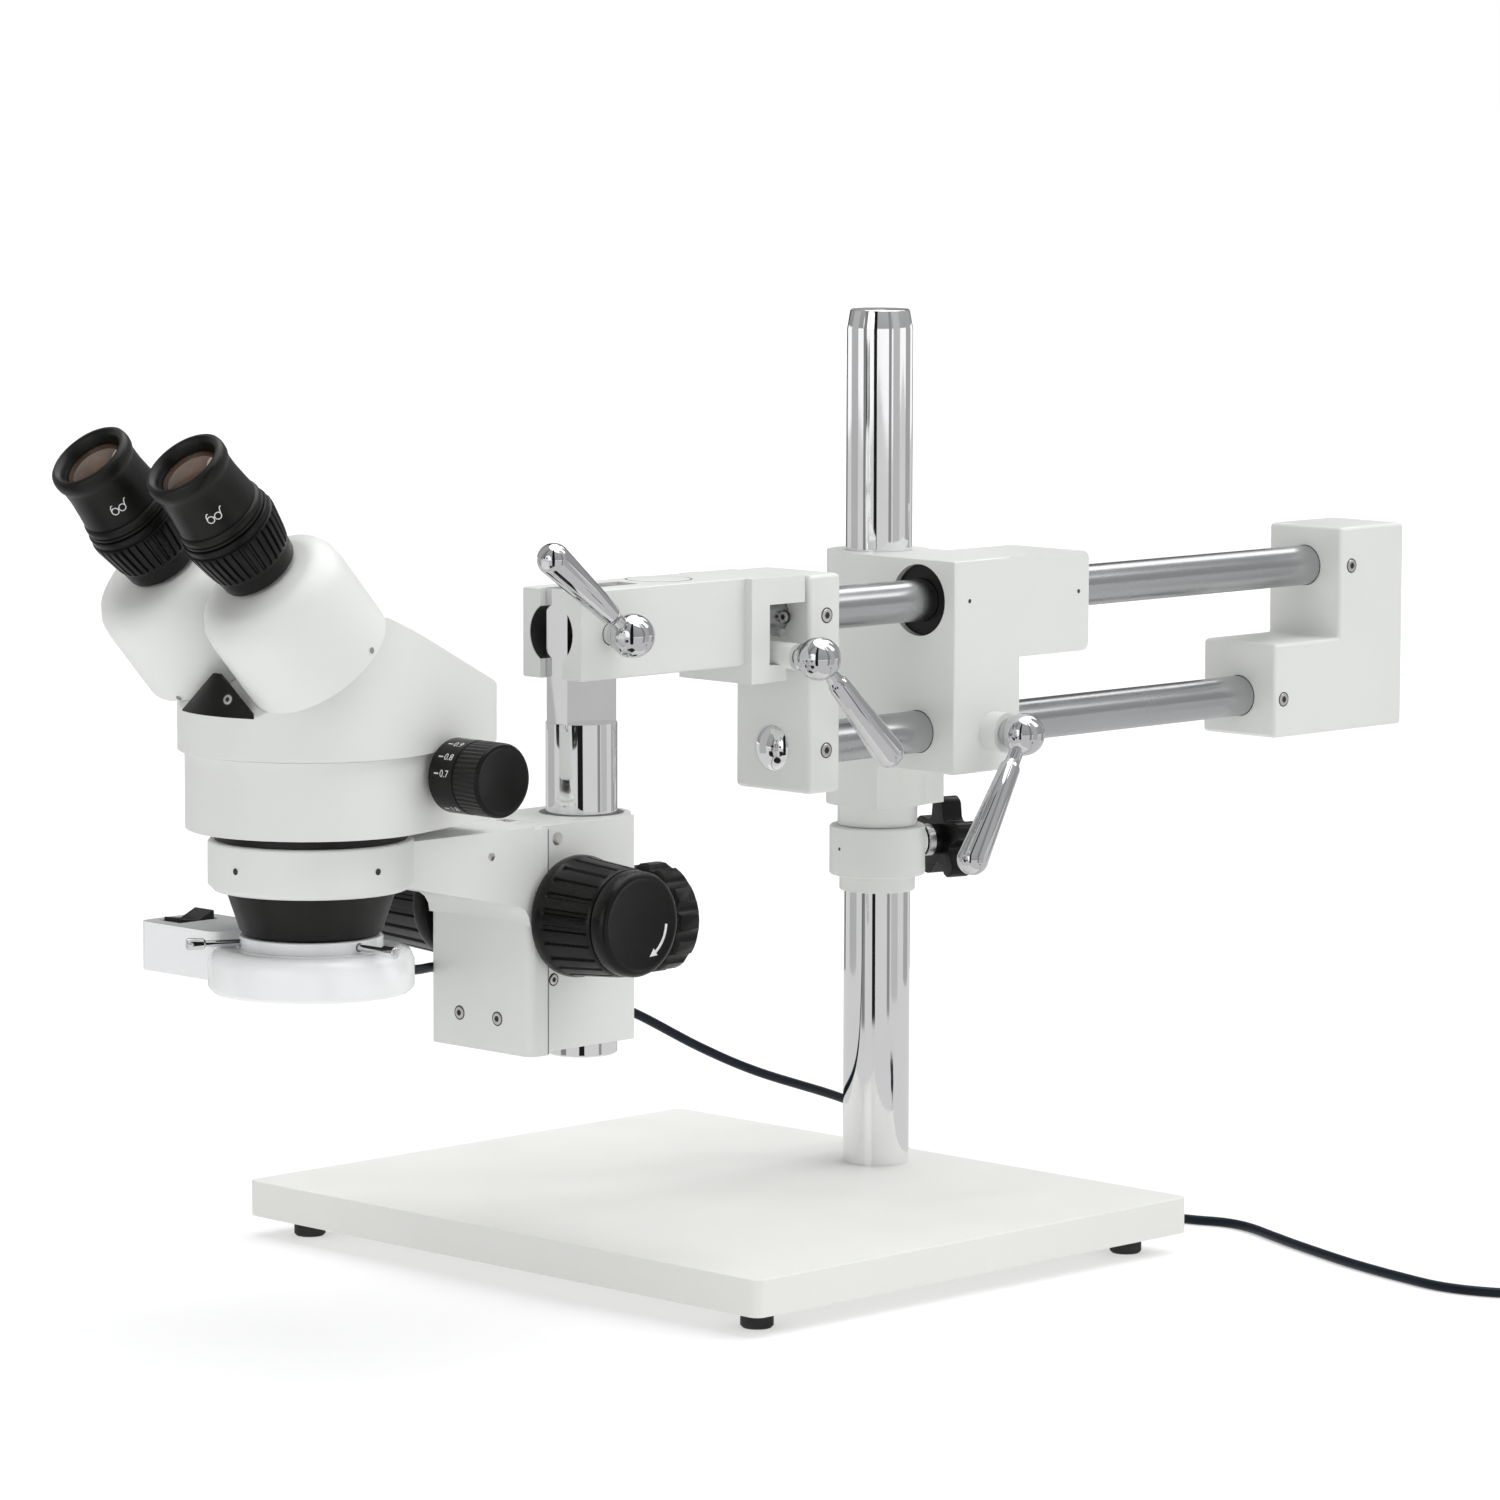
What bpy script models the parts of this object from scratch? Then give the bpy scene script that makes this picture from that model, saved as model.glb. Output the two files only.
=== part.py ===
"""A stereo microscope on a double-rod boom stand: head, focus block, ring light, boom, pillar and base.

Lengths are in millimetres and placed from the pillar's axis on the table: x to the user's right,
y away from the user, z up. place() turns them into metres in the model's own frame.
"""

from math import acos, asin, atan2, cos, degrees, pi, radians, sin, sqrt

import bmesh
import bpy
from mathutils import Matrix, Vector

MM = 0.001
GAP = 0.3                      # clearance between neighbouring pieces

# ---- driving dimensions ----
PILLAR_X, PILLAR_Y = 2.0, 103.2  # where the pillar stands in the model's frame

BASE_WIDTH, BASE_DEPTH, BASE_THICK = 343.0, 289.0, 17.0
FOOT_HIGH, FOOT_RADIUS, FOOT_INSET = 9.5, 7.5, 21.0
BASE_TOP = FOOT_HIGH + BASE_THICK
BASE_REAR = 36.6               # from the pillar's axis to the base's rear edge
BASE_Y = BASE_REAR - BASE_DEPTH / 2

PILLAR_RADIUS, PILLAR_TOP = 16.0, 440.2
COLLAR_TOP, COLLAR_RING_BOTTOM, COLLAR_BOTTOM = 191.5, 167.5, 159.8
KNOB_Z, KNOB_TURN = 182.0, 75.0  # the collar's hand knob: its height, and its turn about the pillar

ROD_RADIUS = 10.0
ROD_X = 50.0                   # the two rods, the arm, the post and the head all share this plane
UPPER_ROD_Z, LOWER_ROD_Z = 305.0, 242.4
BLOCK_HALF = 23.5              # half the width of the blocks that hold the rods
BLOCK_TOP, BLOCK_BOTTOM = 324.7, 223.4
TAIL_BACK, TAIL_BOTTOM = 69.6, 276.6  # the boom block's longer upper part
SLEEVE_RADIUS, SLEEVE_BOTTOM = 25.0, 202.3  # the boom block's sleeve round the pillar
PLATE_FRONT, PLATE_BACK = -123.3, -102.5
REAR_LOW_FRONT, REAR_HIGH_FRONT, REAR_BACK = 208.8, 258.8, 308.6
REAR_STEP_Z = 269.7
BOOM_LOCK_Y = 2.4

ARM_FRONT, ARM_BACK = -264.0, -160.5
FLANGE_BACK, LUG_BACK = -148.8, -126.0
ARM_HALF = 19.0
ARM_TOP, ARM_BOTTOM = 324.9, 284.5
FLANGE_BOTTOM = 276.3
ROLL_LOCK_Y, ROLL_LOCK_Z = -137.0, 288.0
TILT_Y, TILT_Z = -245.2, UPPER_ROD_Z

POST_RADIUS = 16.2
POST_BOTTOM, POST_SHOULDER, POST_TOP = 113.6, 264.0, 324.9
TANG_HALF = 6.75

HOUSING_HALF, HOUSING_BACK, SLEEVE_BACK = 26.0, -235.5, 22.2  # the box, and its round back about the post
HOUSING_TOP, HOUSING_BOTTOM = 223.3, 122.0
BUSH_MARGIN = 4.5              # the bush stops this far inside the housing's ends
SLIDE_FACE = -296.7            # the plane between the focus housing and its carriage
CARRIAGE_FRONT, CARRIAGE_HALF = -307.8, 33.0
PINION_Y, PINION_Z = -283.2, 183.5
PINION_TEETH, TOOTH_PITCH = 12, 2.6
LOCK_KNOB_Z = 171.0

HEAD_Y = -406.8                # the optical axis
RING_RADIUS, RING_TOP, RING_BOTTOM = 44.6, 225.9, 204.2
SPIGOT_RADIUS = 38.0
BODY_RADIUS, CROWN_RADIUS, REAR_CORNER = 54.3, 57.4, 15.0
BODY_BOTTOM, GROOVE_Z = 230.9, 264.8
FRONT_EDGE = (-54.6, 281.6)    # where the crown's front slope starts: y from the optical axis, and z
REAR_EDGE, REAR_SLOPE = (18.0, 315.6), 23.2  # a point on the slope behind it, and its fall in degrees
ZOOM_Y, ZOOM_Z, ZOOM_RADIUS = 34.9, 255.0, 16.2

TUBE_TILT = 42.0               # the front slope and the eye tubes' tilt, in degrees
CAN_X, CAN_RADIUS, CAN_HIGH, CAN_CROWN = 34.0, 33.2, 37.5, 9.8
CAN_RIM = (-50.3, 336.4)       # y from the optical axis, and z, of a prism housing's shoulder
TUBE_ACROSS, TUBE_ALONG = -3.0, 4.4  # the eye tube's offset from its housing's axis

LIGHT_RADIUS, LIGHT_BOTTOM, LIGHT_TOP = 44.7, 159.6, 179.0
LIGHT_INNER, LIGHT_COLLAR, COLLAR_RIM = 27.6, 31.3, 184.0
SCREW_ANGLES = {"right": 0.0, "rear": 120.0, "left": 240.0}
SCREW_Z = 181.2
SWITCH_X, SWITCH_Y, SWITCH_TOP = (-94.0, -43.0), 19.0, 182.0
ROCKER_X, ROCKER_Z = (-88.0, -75.5), 179.5

CORD_RADIUS = 2.25
GLAND_ANGLE, GLAND_DROP, GLAND_Z, GLAND_LONG = 108.0, 14.0, 164.8, 15.0
COIL_X, COIL_Y, COIL_RADIUS = 402.0, 60.0, 27.0  # the middle of the coil, and of its turns
COIL_ROWS, COIL_LAYERS = 3, 2


# ---- placing and making ----
def place(x, y, z):
    return Vector(((PILLAR_X + x) * MM, (PILLAR_Y + y) * MM, z * MM))


def new_collection(name):
    collection = bpy.data.collections.new(name)
    bpy.context.scene.collection.children.link(collection)
    return collection


for old in list(bpy.data.objects):
    bpy.data.objects.remove(old, do_unlink=True)

PARTS = new_collection("stereo_microscope")
TOOLS = new_collection("cutters")


def material(name, colour, roughness, metallic=0.0, transmission=0.0):
    made = bpy.data.materials.new(name)
    made.use_nodes = True
    shader = made.node_tree.nodes["Principled BSDF"]
    shader.inputs["Base Color"].default_value = (*colour, 1.0)
    shader.inputs["Roughness"].default_value = roughness
    shader.inputs["Metallic"].default_value = metallic
    shader.inputs["Transmission Weight"].default_value = transmission
    return made


PAINT = material("white_paint", (0.72, 0.74, 0.72), 0.4)
CHROME = material("chrome", (0.8, 0.8, 0.82), 0.08, 1.0)
STEEL = material("satin_steel", (0.55, 0.55, 0.57), 0.3, 1.0)
BRASS = material("brass", (0.75, 0.6, 0.3), 0.3, 1.0)
BLACK = material("black_plastic", (0.03, 0.03, 0.032), 0.45)
RUBBER = material("rubber", (0.02, 0.02, 0.02), 0.8)
WHITE_PLASTIC = material("white_plastic", (0.85, 0.86, 0.87), 0.25)
DIFFUSER = material("frosted_plastic", (0.9, 0.9, 0.9), 0.5)
CIRCUIT = material("circuit_board", (0.1, 0.25, 0.12), 0.5)
GLASS = material("glass", (0.9, 0.85, 0.8), 0.03, 0.0, 0.9)
CORD = material("cord_jacket", (0.03, 0.04, 0.06), 0.5)


def finish(obj, paint, tool=False):
    """Puts a new object in its collection, with its material; a tool is only a shape that others use."""
    for collection in list(obj.users_collection):
        collection.objects.unlink(obj)
    (TOOLS if tool else PARTS).objects.link(obj)
    if tool:
        obj.hide_render = True
        obj.display_type = "WIRE"
    obj.data.materials.clear()
    obj.data.materials.append(paint)
    return obj


def soften(obj, width, segments=2):
    bevel = obj.modifiers.new("soft_edges", "BEVEL")
    bevel.width = width * MM
    bevel.segments = segments
    bevel.limit_method = "ANGLE"
    bevel.angle_limit = radians(40)
    return obj


def from_bmesh(name, mesh, location, rotation, paint, tool):
    data = bpy.data.meshes.new(name)
    mesh.to_mesh(data)
    mesh.free()
    obj = bpy.data.objects.new(name, data)
    bpy.context.scene.collection.objects.link(obj)
    obj.location = location
    obj.rotation_euler = rotation
    return finish(obj, paint, tool)


def box(name, low, high, paint=PAINT, tool=False):
    """A box between two corners, with its origin in its middle."""
    size = [(b - a) * MM for a, b in zip(low, high)]
    middle = [(a + b) / 2 for a, b in zip(low, high)]
    mesh = bmesh.new()
    bmesh.ops.create_cube(mesh, size=1.0, matrix=Matrix.Diagonal((*size, 1.0)))
    return from_bmesh(name, mesh, place(*middle), (0, 0, 0), paint, tool)


TURNS = {"z": (0, 0, 0), "x": (0, radians(90), 0), "y": (radians(-90), 0, 0)}


def rod(name, radius, start, length, axis="z", sides=32, paint=CHROME, tool=False):
    """A cylinder that starts at a point and runs along an axis; its origin is at the start."""
    mesh = bmesh.new()
    bmesh.ops.create_cone(mesh, cap_ends=True, segments=sides, radius1=radius * MM, radius2=radius * MM,
                          depth=length * MM, matrix=Matrix.Translation((0, 0, length * MM / 2)))
    obj = from_bmesh(name, mesh, place(*start), TURNS[axis], paint, tool)
    return round_off(obj)


def round_off(obj, degrees=35):
    obj.data.shade_smooth()
    obj.data.set_sharp_from_angle(angle=radians(degrees))
    return obj


def turned(name, profile, origin, rotation=(0, 0, 0), sides=40, paint=CHROME, tool=False):
    """A solid of revolution about its local z: (radius, height) pairs down the outer side, top to bottom.

    A profile that starts and ends off the axis is closed into a ring.
    """
    points = list(profile)
    closed = points[0][0] > 0 and points[-1][0] > 0
    data = bpy.data.meshes.new(name)
    pairs = [(i, i + 1) for i in range(len(points) - 1)]
    if closed:
        pairs.append((len(points) - 1, 0))
    data.from_pydata([(r * MM, 0, h * MM) for r, h in points], pairs, [])
    obj = bpy.data.objects.new(name, data)
    bpy.context.scene.collection.objects.link(obj)
    obj.location = origin
    obj.rotation_euler = rotation
    screw = obj.modifiers.new("turning", "SCREW")
    screw.steps = screw.render_steps = sides
    screw.use_merge_vertices = True
    screw.merge_threshold = 0.00001
    screw.use_smooth_shade = False
    return finish(obj, paint, tool)


def arc(centre, radius, start, end, steps):
    """Points on an arc, angles in degrees."""
    for i in range(steps + 1):
        a = radians(start + (end - start) * i / steps)
        yield centre[0] + radius * cos(a), centre[1] + radius * sin(a)


def flat_curve(name, outline, thick):
    curve = bpy.data.curves.new(name, "CURVE")
    curve.dimensions = "2D"
    curve.fill_mode = "BOTH"
    curve.extrude = thick / 2 * MM
    spline = curve.splines.new("POLY")
    outline = list(outline)
    spline.points.add(len(outline) - 1)
    for point, (a, b) in zip(spline.points, outline):
        point.co = (a * MM, b * MM, 0, 1)
    spline.use_cyclic_u = True
    guide = bpy.data.objects.new(name + "_outline", curve)
    bpy.context.scene.collection.objects.link(guide)
    return guide


def extruded(name, outline, low, high, axis="z", paint=PAINT, tool=False):
    """A closed outline given a thickness from low to high along an axis.

    The outline is (x, y) for z, and (y, z) for x, measured from the pillar's axis on the table.
    """
    guide = flat_curve(name, outline, high - low)
    middle = (low + high) / 2
    if axis == "z":
        guide.matrix_world = Matrix.Translation(place(0, 0, middle))
    else:
        turn = Matrix(((0, 0, 1), (1, 0, 0), (0, 1, 0))).to_4x4()
        guide.matrix_world = Matrix.Translation(place(middle, 0, 0)) @ turn
    return meshed(guide, name, paint, tool)


def sheet(name, outline, thick, paint=PAINT, tool=False):
    """A closed outline in its own x-y plane, given a thickness both ways, with its origin at (0, 0)."""
    return meshed(flat_curve(name, outline, thick), name, paint, tool)


def meshed(guide, name, paint, tool):
    """Turns a curve object into a welded mesh object, and removes the curve."""
    bpy.context.view_layer.update()
    seen = guide.evaluated_get(bpy.context.evaluated_depsgraph_get())
    data = bpy.data.meshes.new_from_object(seen)
    welded = bmesh.new()
    welded.from_mesh(data)
    bmesh.ops.remove_doubles(welded, verts=welded.verts, dist=0.000001)
    bmesh.ops.recalc_face_normals(welded, faces=welded.faces)
    welded.to_mesh(data)
    welded.free()
    obj = bpy.data.objects.new(name, data)
    obj.matrix_world = guide.matrix_world
    bpy.context.scene.collection.objects.link(obj)
    bpy.data.objects.remove(guide, do_unlink=True)
    return finish(obj, paint, tool)


def combine(obj, others, operation):
    for other in others:
        boolean = obj.modifiers.new(operation.lower(), "BOOLEAN")
        boolean.operation = operation
        boolean.solver = "EXACT"
        boolean.object = other
    return obj


def cut(obj, *tools):
    return combine(obj, tools, "DIFFERENCE")


def join(obj, *tools):
    return combine(obj, tools, "UNION")


def hole(radius, start, length, axis, sides=24):
    return rod("hole", radius, start, length, axis, sides, PAINT, True)


def pocket(low, high):
    return box("pocket", low, high, PAINT, True)


def rounded_box(low, high, radius, steps=4):
    """The outline of a rectangle with round corners."""
    (x0, y0), (x1, y1) = low, high
    corners = (((x1 - radius, y1 - radius), 0), ((x0 + radius, y1 - radius), 90),
               ((x0 + radius, y0 + radius), 180), ((x1 - radius, y0 + radius), 270))
    for middle, start in corners:
        yield from arc(middle, radius, start, start + 90, steps)


# ---- base and pillar ----
def make_base():
    left, right = -BASE_WIDTH / 2 - PILLAR_X, BASE_WIDTH / 2 - PILLAR_X
    front = BASE_REAR - BASE_DEPTH
    outline = rounded_box((left, front), (right, BASE_REAR), 5.0)
    base = soften(extruded("base_plate", outline, FOOT_HIGH, BASE_TOP), 1.0)
    cut(base, hole(6.5, (0, 0, 0), 40, "z"), hole(12.5, (0, 0, 0), FOOT_HIGH + 10.5, "z"))
    top = FOOT_HIGH - GAP / 10
    profile = [(0, top), (FOOT_RADIUS, top), (FOOT_RADIUS, 1.0), (FOOT_RADIUS - 1, 0), (0, 0)]
    for end, y in (("front", front + FOOT_INSET), ("rear", BASE_REAR - FOOT_INSET)):
        for side, x in (("right", right - FOOT_INSET), ("left", left + FOOT_INSET)):
            turned("foot_%s_%s" % (end, side), profile, place(x, y, 0), sides=16, paint=RUBBER)


def make_pillar():
    foot = BASE_TOP + GAP / 10
    pillar = turned("pillar", [(0, PILLAR_TOP), (13.6, PILLAR_TOP), (14.4, PILLAR_TOP - 0.8),
                               (PILLAR_RADIUS, PILLAR_TOP - 9.5), (PILLAR_RADIUS, foot), (0, foot)],
                    place(0, 0, 0), sides=40)
    cut(pillar, hole(6.3, (0, 0, 10), BASE_TOP + 20, "z", 20))
    head = FOOT_HIGH + 2
    tip = BASE_TOP + 26
    turned("pillar_bolt", [(0, tip), (5.2, tip), (6, tip - 1), (6, head + 8), (11, head + 8), (11, head), (0, head)],
           place(0, 0, 0), sides=24, paint=STEEL)


def make_collar():
    bore = PILLAR_RADIUS + GAP
    collar = turned("safety_collar",
                    [(bore, COLLAR_TOP), (22.4, COLLAR_TOP), (23.2, COLLAR_TOP - 0.8),
                     (23.2, COLLAR_RING_BOTTOM + 0.8), (22.4, COLLAR_RING_BOTTOM),
                     (18.3, COLLAR_RING_BOTTOM), (18.3, COLLAR_BOTTOM + 0.6), (17.8, COLLAR_BOTTOM),
                     (bore, COLLAR_BOTTOM)], place(0, 0, 0), sides=32, paint=PAINT)
    boss = rod("boss", 7.2, (18.5, 0, KNOB_Z), 6.0, "x", 24, PAINT, True)
    bore_of_screw = hole(4.3, (10, 0, KNOB_Z), 30, "x", 16)
    cut(join(collar, boss), bore_of_screw)
    knob, *shapes = star_knob("collar_knob", PILLAR_RADIUS + GAP, 34.0, KNOB_Z)
    for obj in (boss, bore_of_screw, knob, *shapes):
        about_pillar(obj, KNOB_TURN)


def about_pillar(obj, turn):
    """Swings an object about the pillar's axis, in degrees."""
    bpy.context.view_layer.update()
    axis = Matrix.Translation(place(0, 0, 0))
    obj.matrix_world = axis @ Matrix.Rotation(radians(turn), 4, "Z") @ axis.inverted() @ obj.matrix_world


def star_knob(name, tip, face, z):
    """A five-lobed hand knob on a threaded stem that runs along x towards the pillar, and its parts."""
    outline = []
    for lobe in range(5):
        turn = 72 * lobe + 18
        middle = radians(turn)
        outline += arc((15.8 * cos(middle), 15.8 * sin(middle)), 5.0, turn - 70, turn + 70, 6)
        for step, reach in ((26, 12.6), (36, 11.6), (46, 12.6)):
            valley = middle + radians(step)
            outline.append((reach * cos(valley), reach * sin(valley)))
    knob = extruded(name, [(a, b + z) for a, b in outline], face, face + 11, "x", BLACK)
    soften(knob, 1.2, 1)
    stem = rod("stem", 4.0, (tip, 0, z), face + 2 - tip, "x", 20, STEEL, True)
    hub = rod("hub", 7.4, (face - 9.0, 0, z), 11, "x", 24, BLACK, True)
    return join(knob, hub, stem), hub, stem


# ---- boom ----
def make_boom_block():
    main = [(-25, BLOCK_BOTTOM), (21, BLOCK_BOTTOM), (21, BLOCK_TOP), (-25, BLOCK_TOP)]
    right = ROD_X + BLOCK_HALF - 0.2
    block = soften(extruded("boom_block", main, 0, right, "x"), 0.8, 1)
    tail = [(15, TAIL_BOTTOM), *arc((TAIL_BACK - 4, TAIL_BOTTOM + 4), 4, -90, 0, 3),
            *arc((TAIL_BACK - 4, BLOCK_TOP - 4), 4, 0, 90, 3), (15, BLOCK_TOP)]
    rear = extruded("tail", tail, ROD_X - BLOCK_HALF, right, "x", PAINT, True)
    sleeve = rod("sleeve", SLEEVE_RADIUS, (0, 0, SLEEVE_BOTTOM), BLOCK_TOP - SLEEVE_BOTTOM, "z", 32, PAINT, True)
    neck = pocket((0, -24.6, SLEEVE_BOTTOM), (22.8, 22.4, BLOCK_BOTTOM + 5))
    spout = rod("spout", 19.3, (0, 0, COLLAR_TOP + GAP), 20, "z", 32, PAINT, True)
    boss = rod("boss", 9.5, (right - 2, BOOM_LOCK_Y, LOWER_ROD_Z), 11, "x", 28, PAINT, True)
    join(block, rear, sleeve, neck, spout, boss)
    bore = ROD_RADIUS + GAP
    cut(block, hole(PILLAR_RADIUS + GAP, (0, 0, 150), 200, "z", 32),
        hole(bore, (ROD_X, -60, UPPER_ROD_Z), 200, "y"), hole(17.1, (ROD_X, -60, UPPER_ROD_Z), 60, "y", 40),
        hole(bore, (ROD_X, -60, LOWER_ROD_Z), 200, "y"),
        hole(4.5, (ROD_X, BOOM_LOCK_Y, LOWER_ROD_Z), 60, "x", 24))
    turned("rod_bushing", [(bore, 21), (16.8, 21), (16.8, 0), (bore, 0)],
           place(ROD_X, -22.0, UPPER_ROD_Z), TURNS["y"], 28, BLACK)
    clamp_lever("boom_lock_lever", ROD_X + ROD_RADIUS + 0.4, (92.9, BOOM_LOCK_Y, LOWER_ROD_Z), (-32.4, 186.0))


def clamp_lever(name, tip, hub, end, screw_radius=4.0):
    """A locking lever: a screw along x that ends at tip, a ball on it, and a tapered handle to its end."""
    x, y, z = hub
    ball = 10.1
    lever = turned(name, [(ball * sin(pi * i / 8), ball * cos(pi * i / 8)) for i in range(9)],
                   place(x, y, z), sides=16)
    screw = rod("screw", screw_radius, (tip, y, z), x - tip, "x", 16, CHROME, True)
    collar = rod("collar", 6.5, (x - 10.2, y, z), 7, "x", 20, CHROME, True)
    dy, dz = end[0] - y, end[1] - z
    length = sqrt(dy * dy + dz * dz)
    profile = [(0, length + 7.4), *((7.4 * sin(radians(a)), length + 7.4 * cos(radians(a))) for a in (30, 60, 85)),
               (4.3, 16.0), (3.6, 12.5), (3.6, 4.0), (0, 4.0)]
    handle = turned("handle", profile, place(x, y, z), (atan2(-dy, dz), 0, 0), 16, CHROME, True)
    return join(lever, screw, collar, handle)


def make_boom():
    bore = ROD_RADIUS + GAP
    front = box("front_plate", (ROD_X - 24.0, PLATE_FRONT, BLOCK_BOTTOM - 0.9),
                (ROD_X + 24.0, PLATE_BACK, BLOCK_TOP - 0.6))
    soften(front, 2.2)
    cut(front, hole(bore, (ROD_X, -160, UPPER_ROD_Z), 80, "y"), hole(bore, (ROD_X, -160, LOWER_ROD_Z), 80, "y"))
    low, high = BLOCK_BOTTOM - 0.8, BLOCK_TOP + 0.5
    step = [(REAR_LOW_FRONT, low), (REAR_BACK, low), (REAR_BACK, high), (REAR_HIGH_FRONT, high),
            (REAR_HIGH_FRONT, REAR_STEP_Z), (REAR_LOW_FRONT, REAR_STEP_Z)]
    rear = soften(extruded("rear_block", step, ROD_X - BLOCK_HALF, ROD_X + BLOCK_HALF, "x"), 2.0)
    cut(rear, hole(bore, (ROD_X, 200, UPPER_ROD_Z), 103, "y"), hole(bore, (ROD_X, 200, LOWER_ROD_Z), 103, "y"))
    rod("upper_rod", ROD_RADIUS, (ROD_X, -172, UPPER_ROD_Z), 472, "y", paint=STEEL)
    rod("lower_rod", ROD_RADIUS, (ROD_X, PLATE_FRONT + 0.4, LOWER_ROD_Z), 300 - PLATE_FRONT - 0.4, "y", paint=STEEL)
    turned("rod_end_cap", [(0, 4.4), (3.4, 4.1), (6.6, 3.2), (9.2, 1.8), (10.8, 0.2), (10.8, 0), (0, 0)],
           place(ROD_X, PLATE_FRONT - GAP / 10, LOWER_ROD_Z), (radians(90), 0, 0), 24)


# ---- arm and drop post ----
def make_arm():
    """The arm rolls about the upper rod's end; its slotted nose holds the post's tang."""
    arm = box("roll_arm", (ROD_X - ARM_HALF, ARM_FRONT, ARM_BOTTOM), (ROD_X + ARM_HALF, ARM_BACK + 2, ARM_TOP))
    soften(arm, 0.8, 1)
    flange = pocket((ROD_X - BLOCK_HALF, ARM_BACK, FLANGE_BOTTOM), (ROD_X + BLOCK_HALF, FLANGE_BACK, ARM_TOP - 0.4))
    upper = pocket((ROD_X - BLOCK_HALF, FLANGE_BACK - 2, ARM_TOP - 12.8), (ROD_X + BLOCK_HALF, LUG_BACK, ARM_TOP - 0.6))
    lower = pocket((ROD_X - BLOCK_HALF + 1, FLANGE_BACK - 2, FLANGE_BOTTOM + 0.2),
                   (ROD_X + BLOCK_HALF - 1, ROLL_LOCK_Y, FLANGE_BOTTOM + 7.7))
    barrel = rod("barrel", 6.1, (ROD_X - 16, ROLL_LOCK_Y, ROLL_LOCK_Z), 46, "x", 24, PAINT, True)
    join(arm, flange, upper, lower, barrel)
    cut(arm, hole(ROD_RADIUS + GAP, (ROD_X, -180, UPPER_ROD_Z), 80, "y"),
        hole(14.0, (ROD_X, ARM_FRONT - 10, TILT_Z), 45, "y", 32),
        pocket((ROD_X - TANG_HALF - 0.4, ARM_FRONT - 5, 200), (ROD_X + TANG_HALF + 0.4, -216, 400)),
        hole(5.3, (ROD_X - 40, TILT_Y, TILT_Z), 80, "x"),
        hole(3.8, (ROD_X, ROLL_LOCK_Y, ROLL_LOCK_Z), 60, "x", 20))
    clamp_lever("roll_lock_lever", ROD_X + 8, (ROD_X + 43.6, ROLL_LOCK_Y, ROLL_LOCK_Z), (-91.2, 241.7), 3.5)
    turned("tilt_bolt", [(0, 50), (8.2, 50), (8.2, 44.3), (5, 44.3), (5, 0.6), (4.4, 0), (0, 0)],
           place(ROD_X + ARM_HALF + 5.8, TILT_Y, TILT_Z), (0, radians(-90), 0), 24)
    lever = clamp_lever("tilt_lock_lever", ROD_X + ARM_HALF + 6.1, (ROD_X + 33, TILT_Y, TILT_Z), (-293.6, 341.9))
    washer = rod("washer", 8.0, (ROD_X + ARM_HALF + 0.3, TILT_Y, TILT_Z), 6.5, "x", 28, CHROME, True)
    cut(join(lever, washer), hole(5.3, (ROD_X + ARM_HALF - 1, TILT_Y, TILT_Z), 7.1, "x", 24))


def make_post():
    post = turned("drop_post", [(0, POST_SHOULDER), (POST_RADIUS, POST_SHOULDER), (POST_RADIUS, POST_BOTTOM + 1),
                                (POST_RADIUS - 1, POST_BOTTOM), (0, POST_BOTTOM)],
                  place(ROD_X, TILT_Y, 0), sides=40)
    tang = pocket((ROD_X - TANG_HALF, TILT_Y - 15.2, POST_SHOULDER - 3), (ROD_X + TANG_HALF, TILT_Y + 15.2, POST_TOP))
    cut(join(post, tang), hole(5.3, (ROD_X - 40, TILT_Y, TILT_Z), 80, "x"))
    inner, low, high = POST_RADIUS + GAP, HOUSING_BOTTOM + BUSH_MARGIN, HOUSING_TOP - BUSH_MARGIN
    turned("post_bush", [(inner, high), (19.0, high), (19.0, low), (inner, low)],
           place(ROD_X, TILT_Y, 0), sides=28, paint=BLACK)


# ---- focus block ----
def dovetail(narrow, wide, front, back):
    return [(ROD_X - narrow, front), (ROD_X + narrow, front), (ROD_X + wide, back), (ROD_X - wide, back)]


def make_focus_housing():
    sides = ((ROD_X + HOUSING_HALF, SLIDE_FACE + GAP), (ROD_X - HOUSING_HALF, SLIDE_FACE + GAP))
    back, corner = HOUSING_BACK, 3.0
    turn = degrees(asin((back - TILT_Y) / SLEEVE_BACK))
    outline = [*arc((ROD_X + HOUSING_HALF - corner, back - corner), corner, 0, 90, 3),
               *arc((ROD_X, TILT_Y), SLEEVE_BACK, turn, 180 - turn, 14),
               *arc((ROD_X - HOUSING_HALF + corner, back - corner), corner, 90, 180, 3), sides[1], sides[0]]
    housing = soften(extruded("focus_housing", outline, HOUSING_BOTTOM, HOUSING_TOP), 0.8, 1)
    slot = extruded("slot", dovetail(11.5, 15.6, SLIDE_FACE - 1, -288.5), 100, 240, "z", PAINT, True)
    cut(housing, hole(19.3, (ROD_X, TILT_Y, 90), 160, "z", 36), slot,
        hole(4.4, (ROD_X - 40, PINION_Y, PINION_Z), 80, "x", 24),
        pocket((ROD_X - 6, -290, PINION_Z - 6.2), (ROD_X + 6, PINION_Y + 6.2, PINION_Z + 6.2)),
        hole(4.4, (ROD_X, TILT_Y + 10, LOCK_KNOB_Z), 30, "y", 24))
    scalloped_knob()


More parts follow.
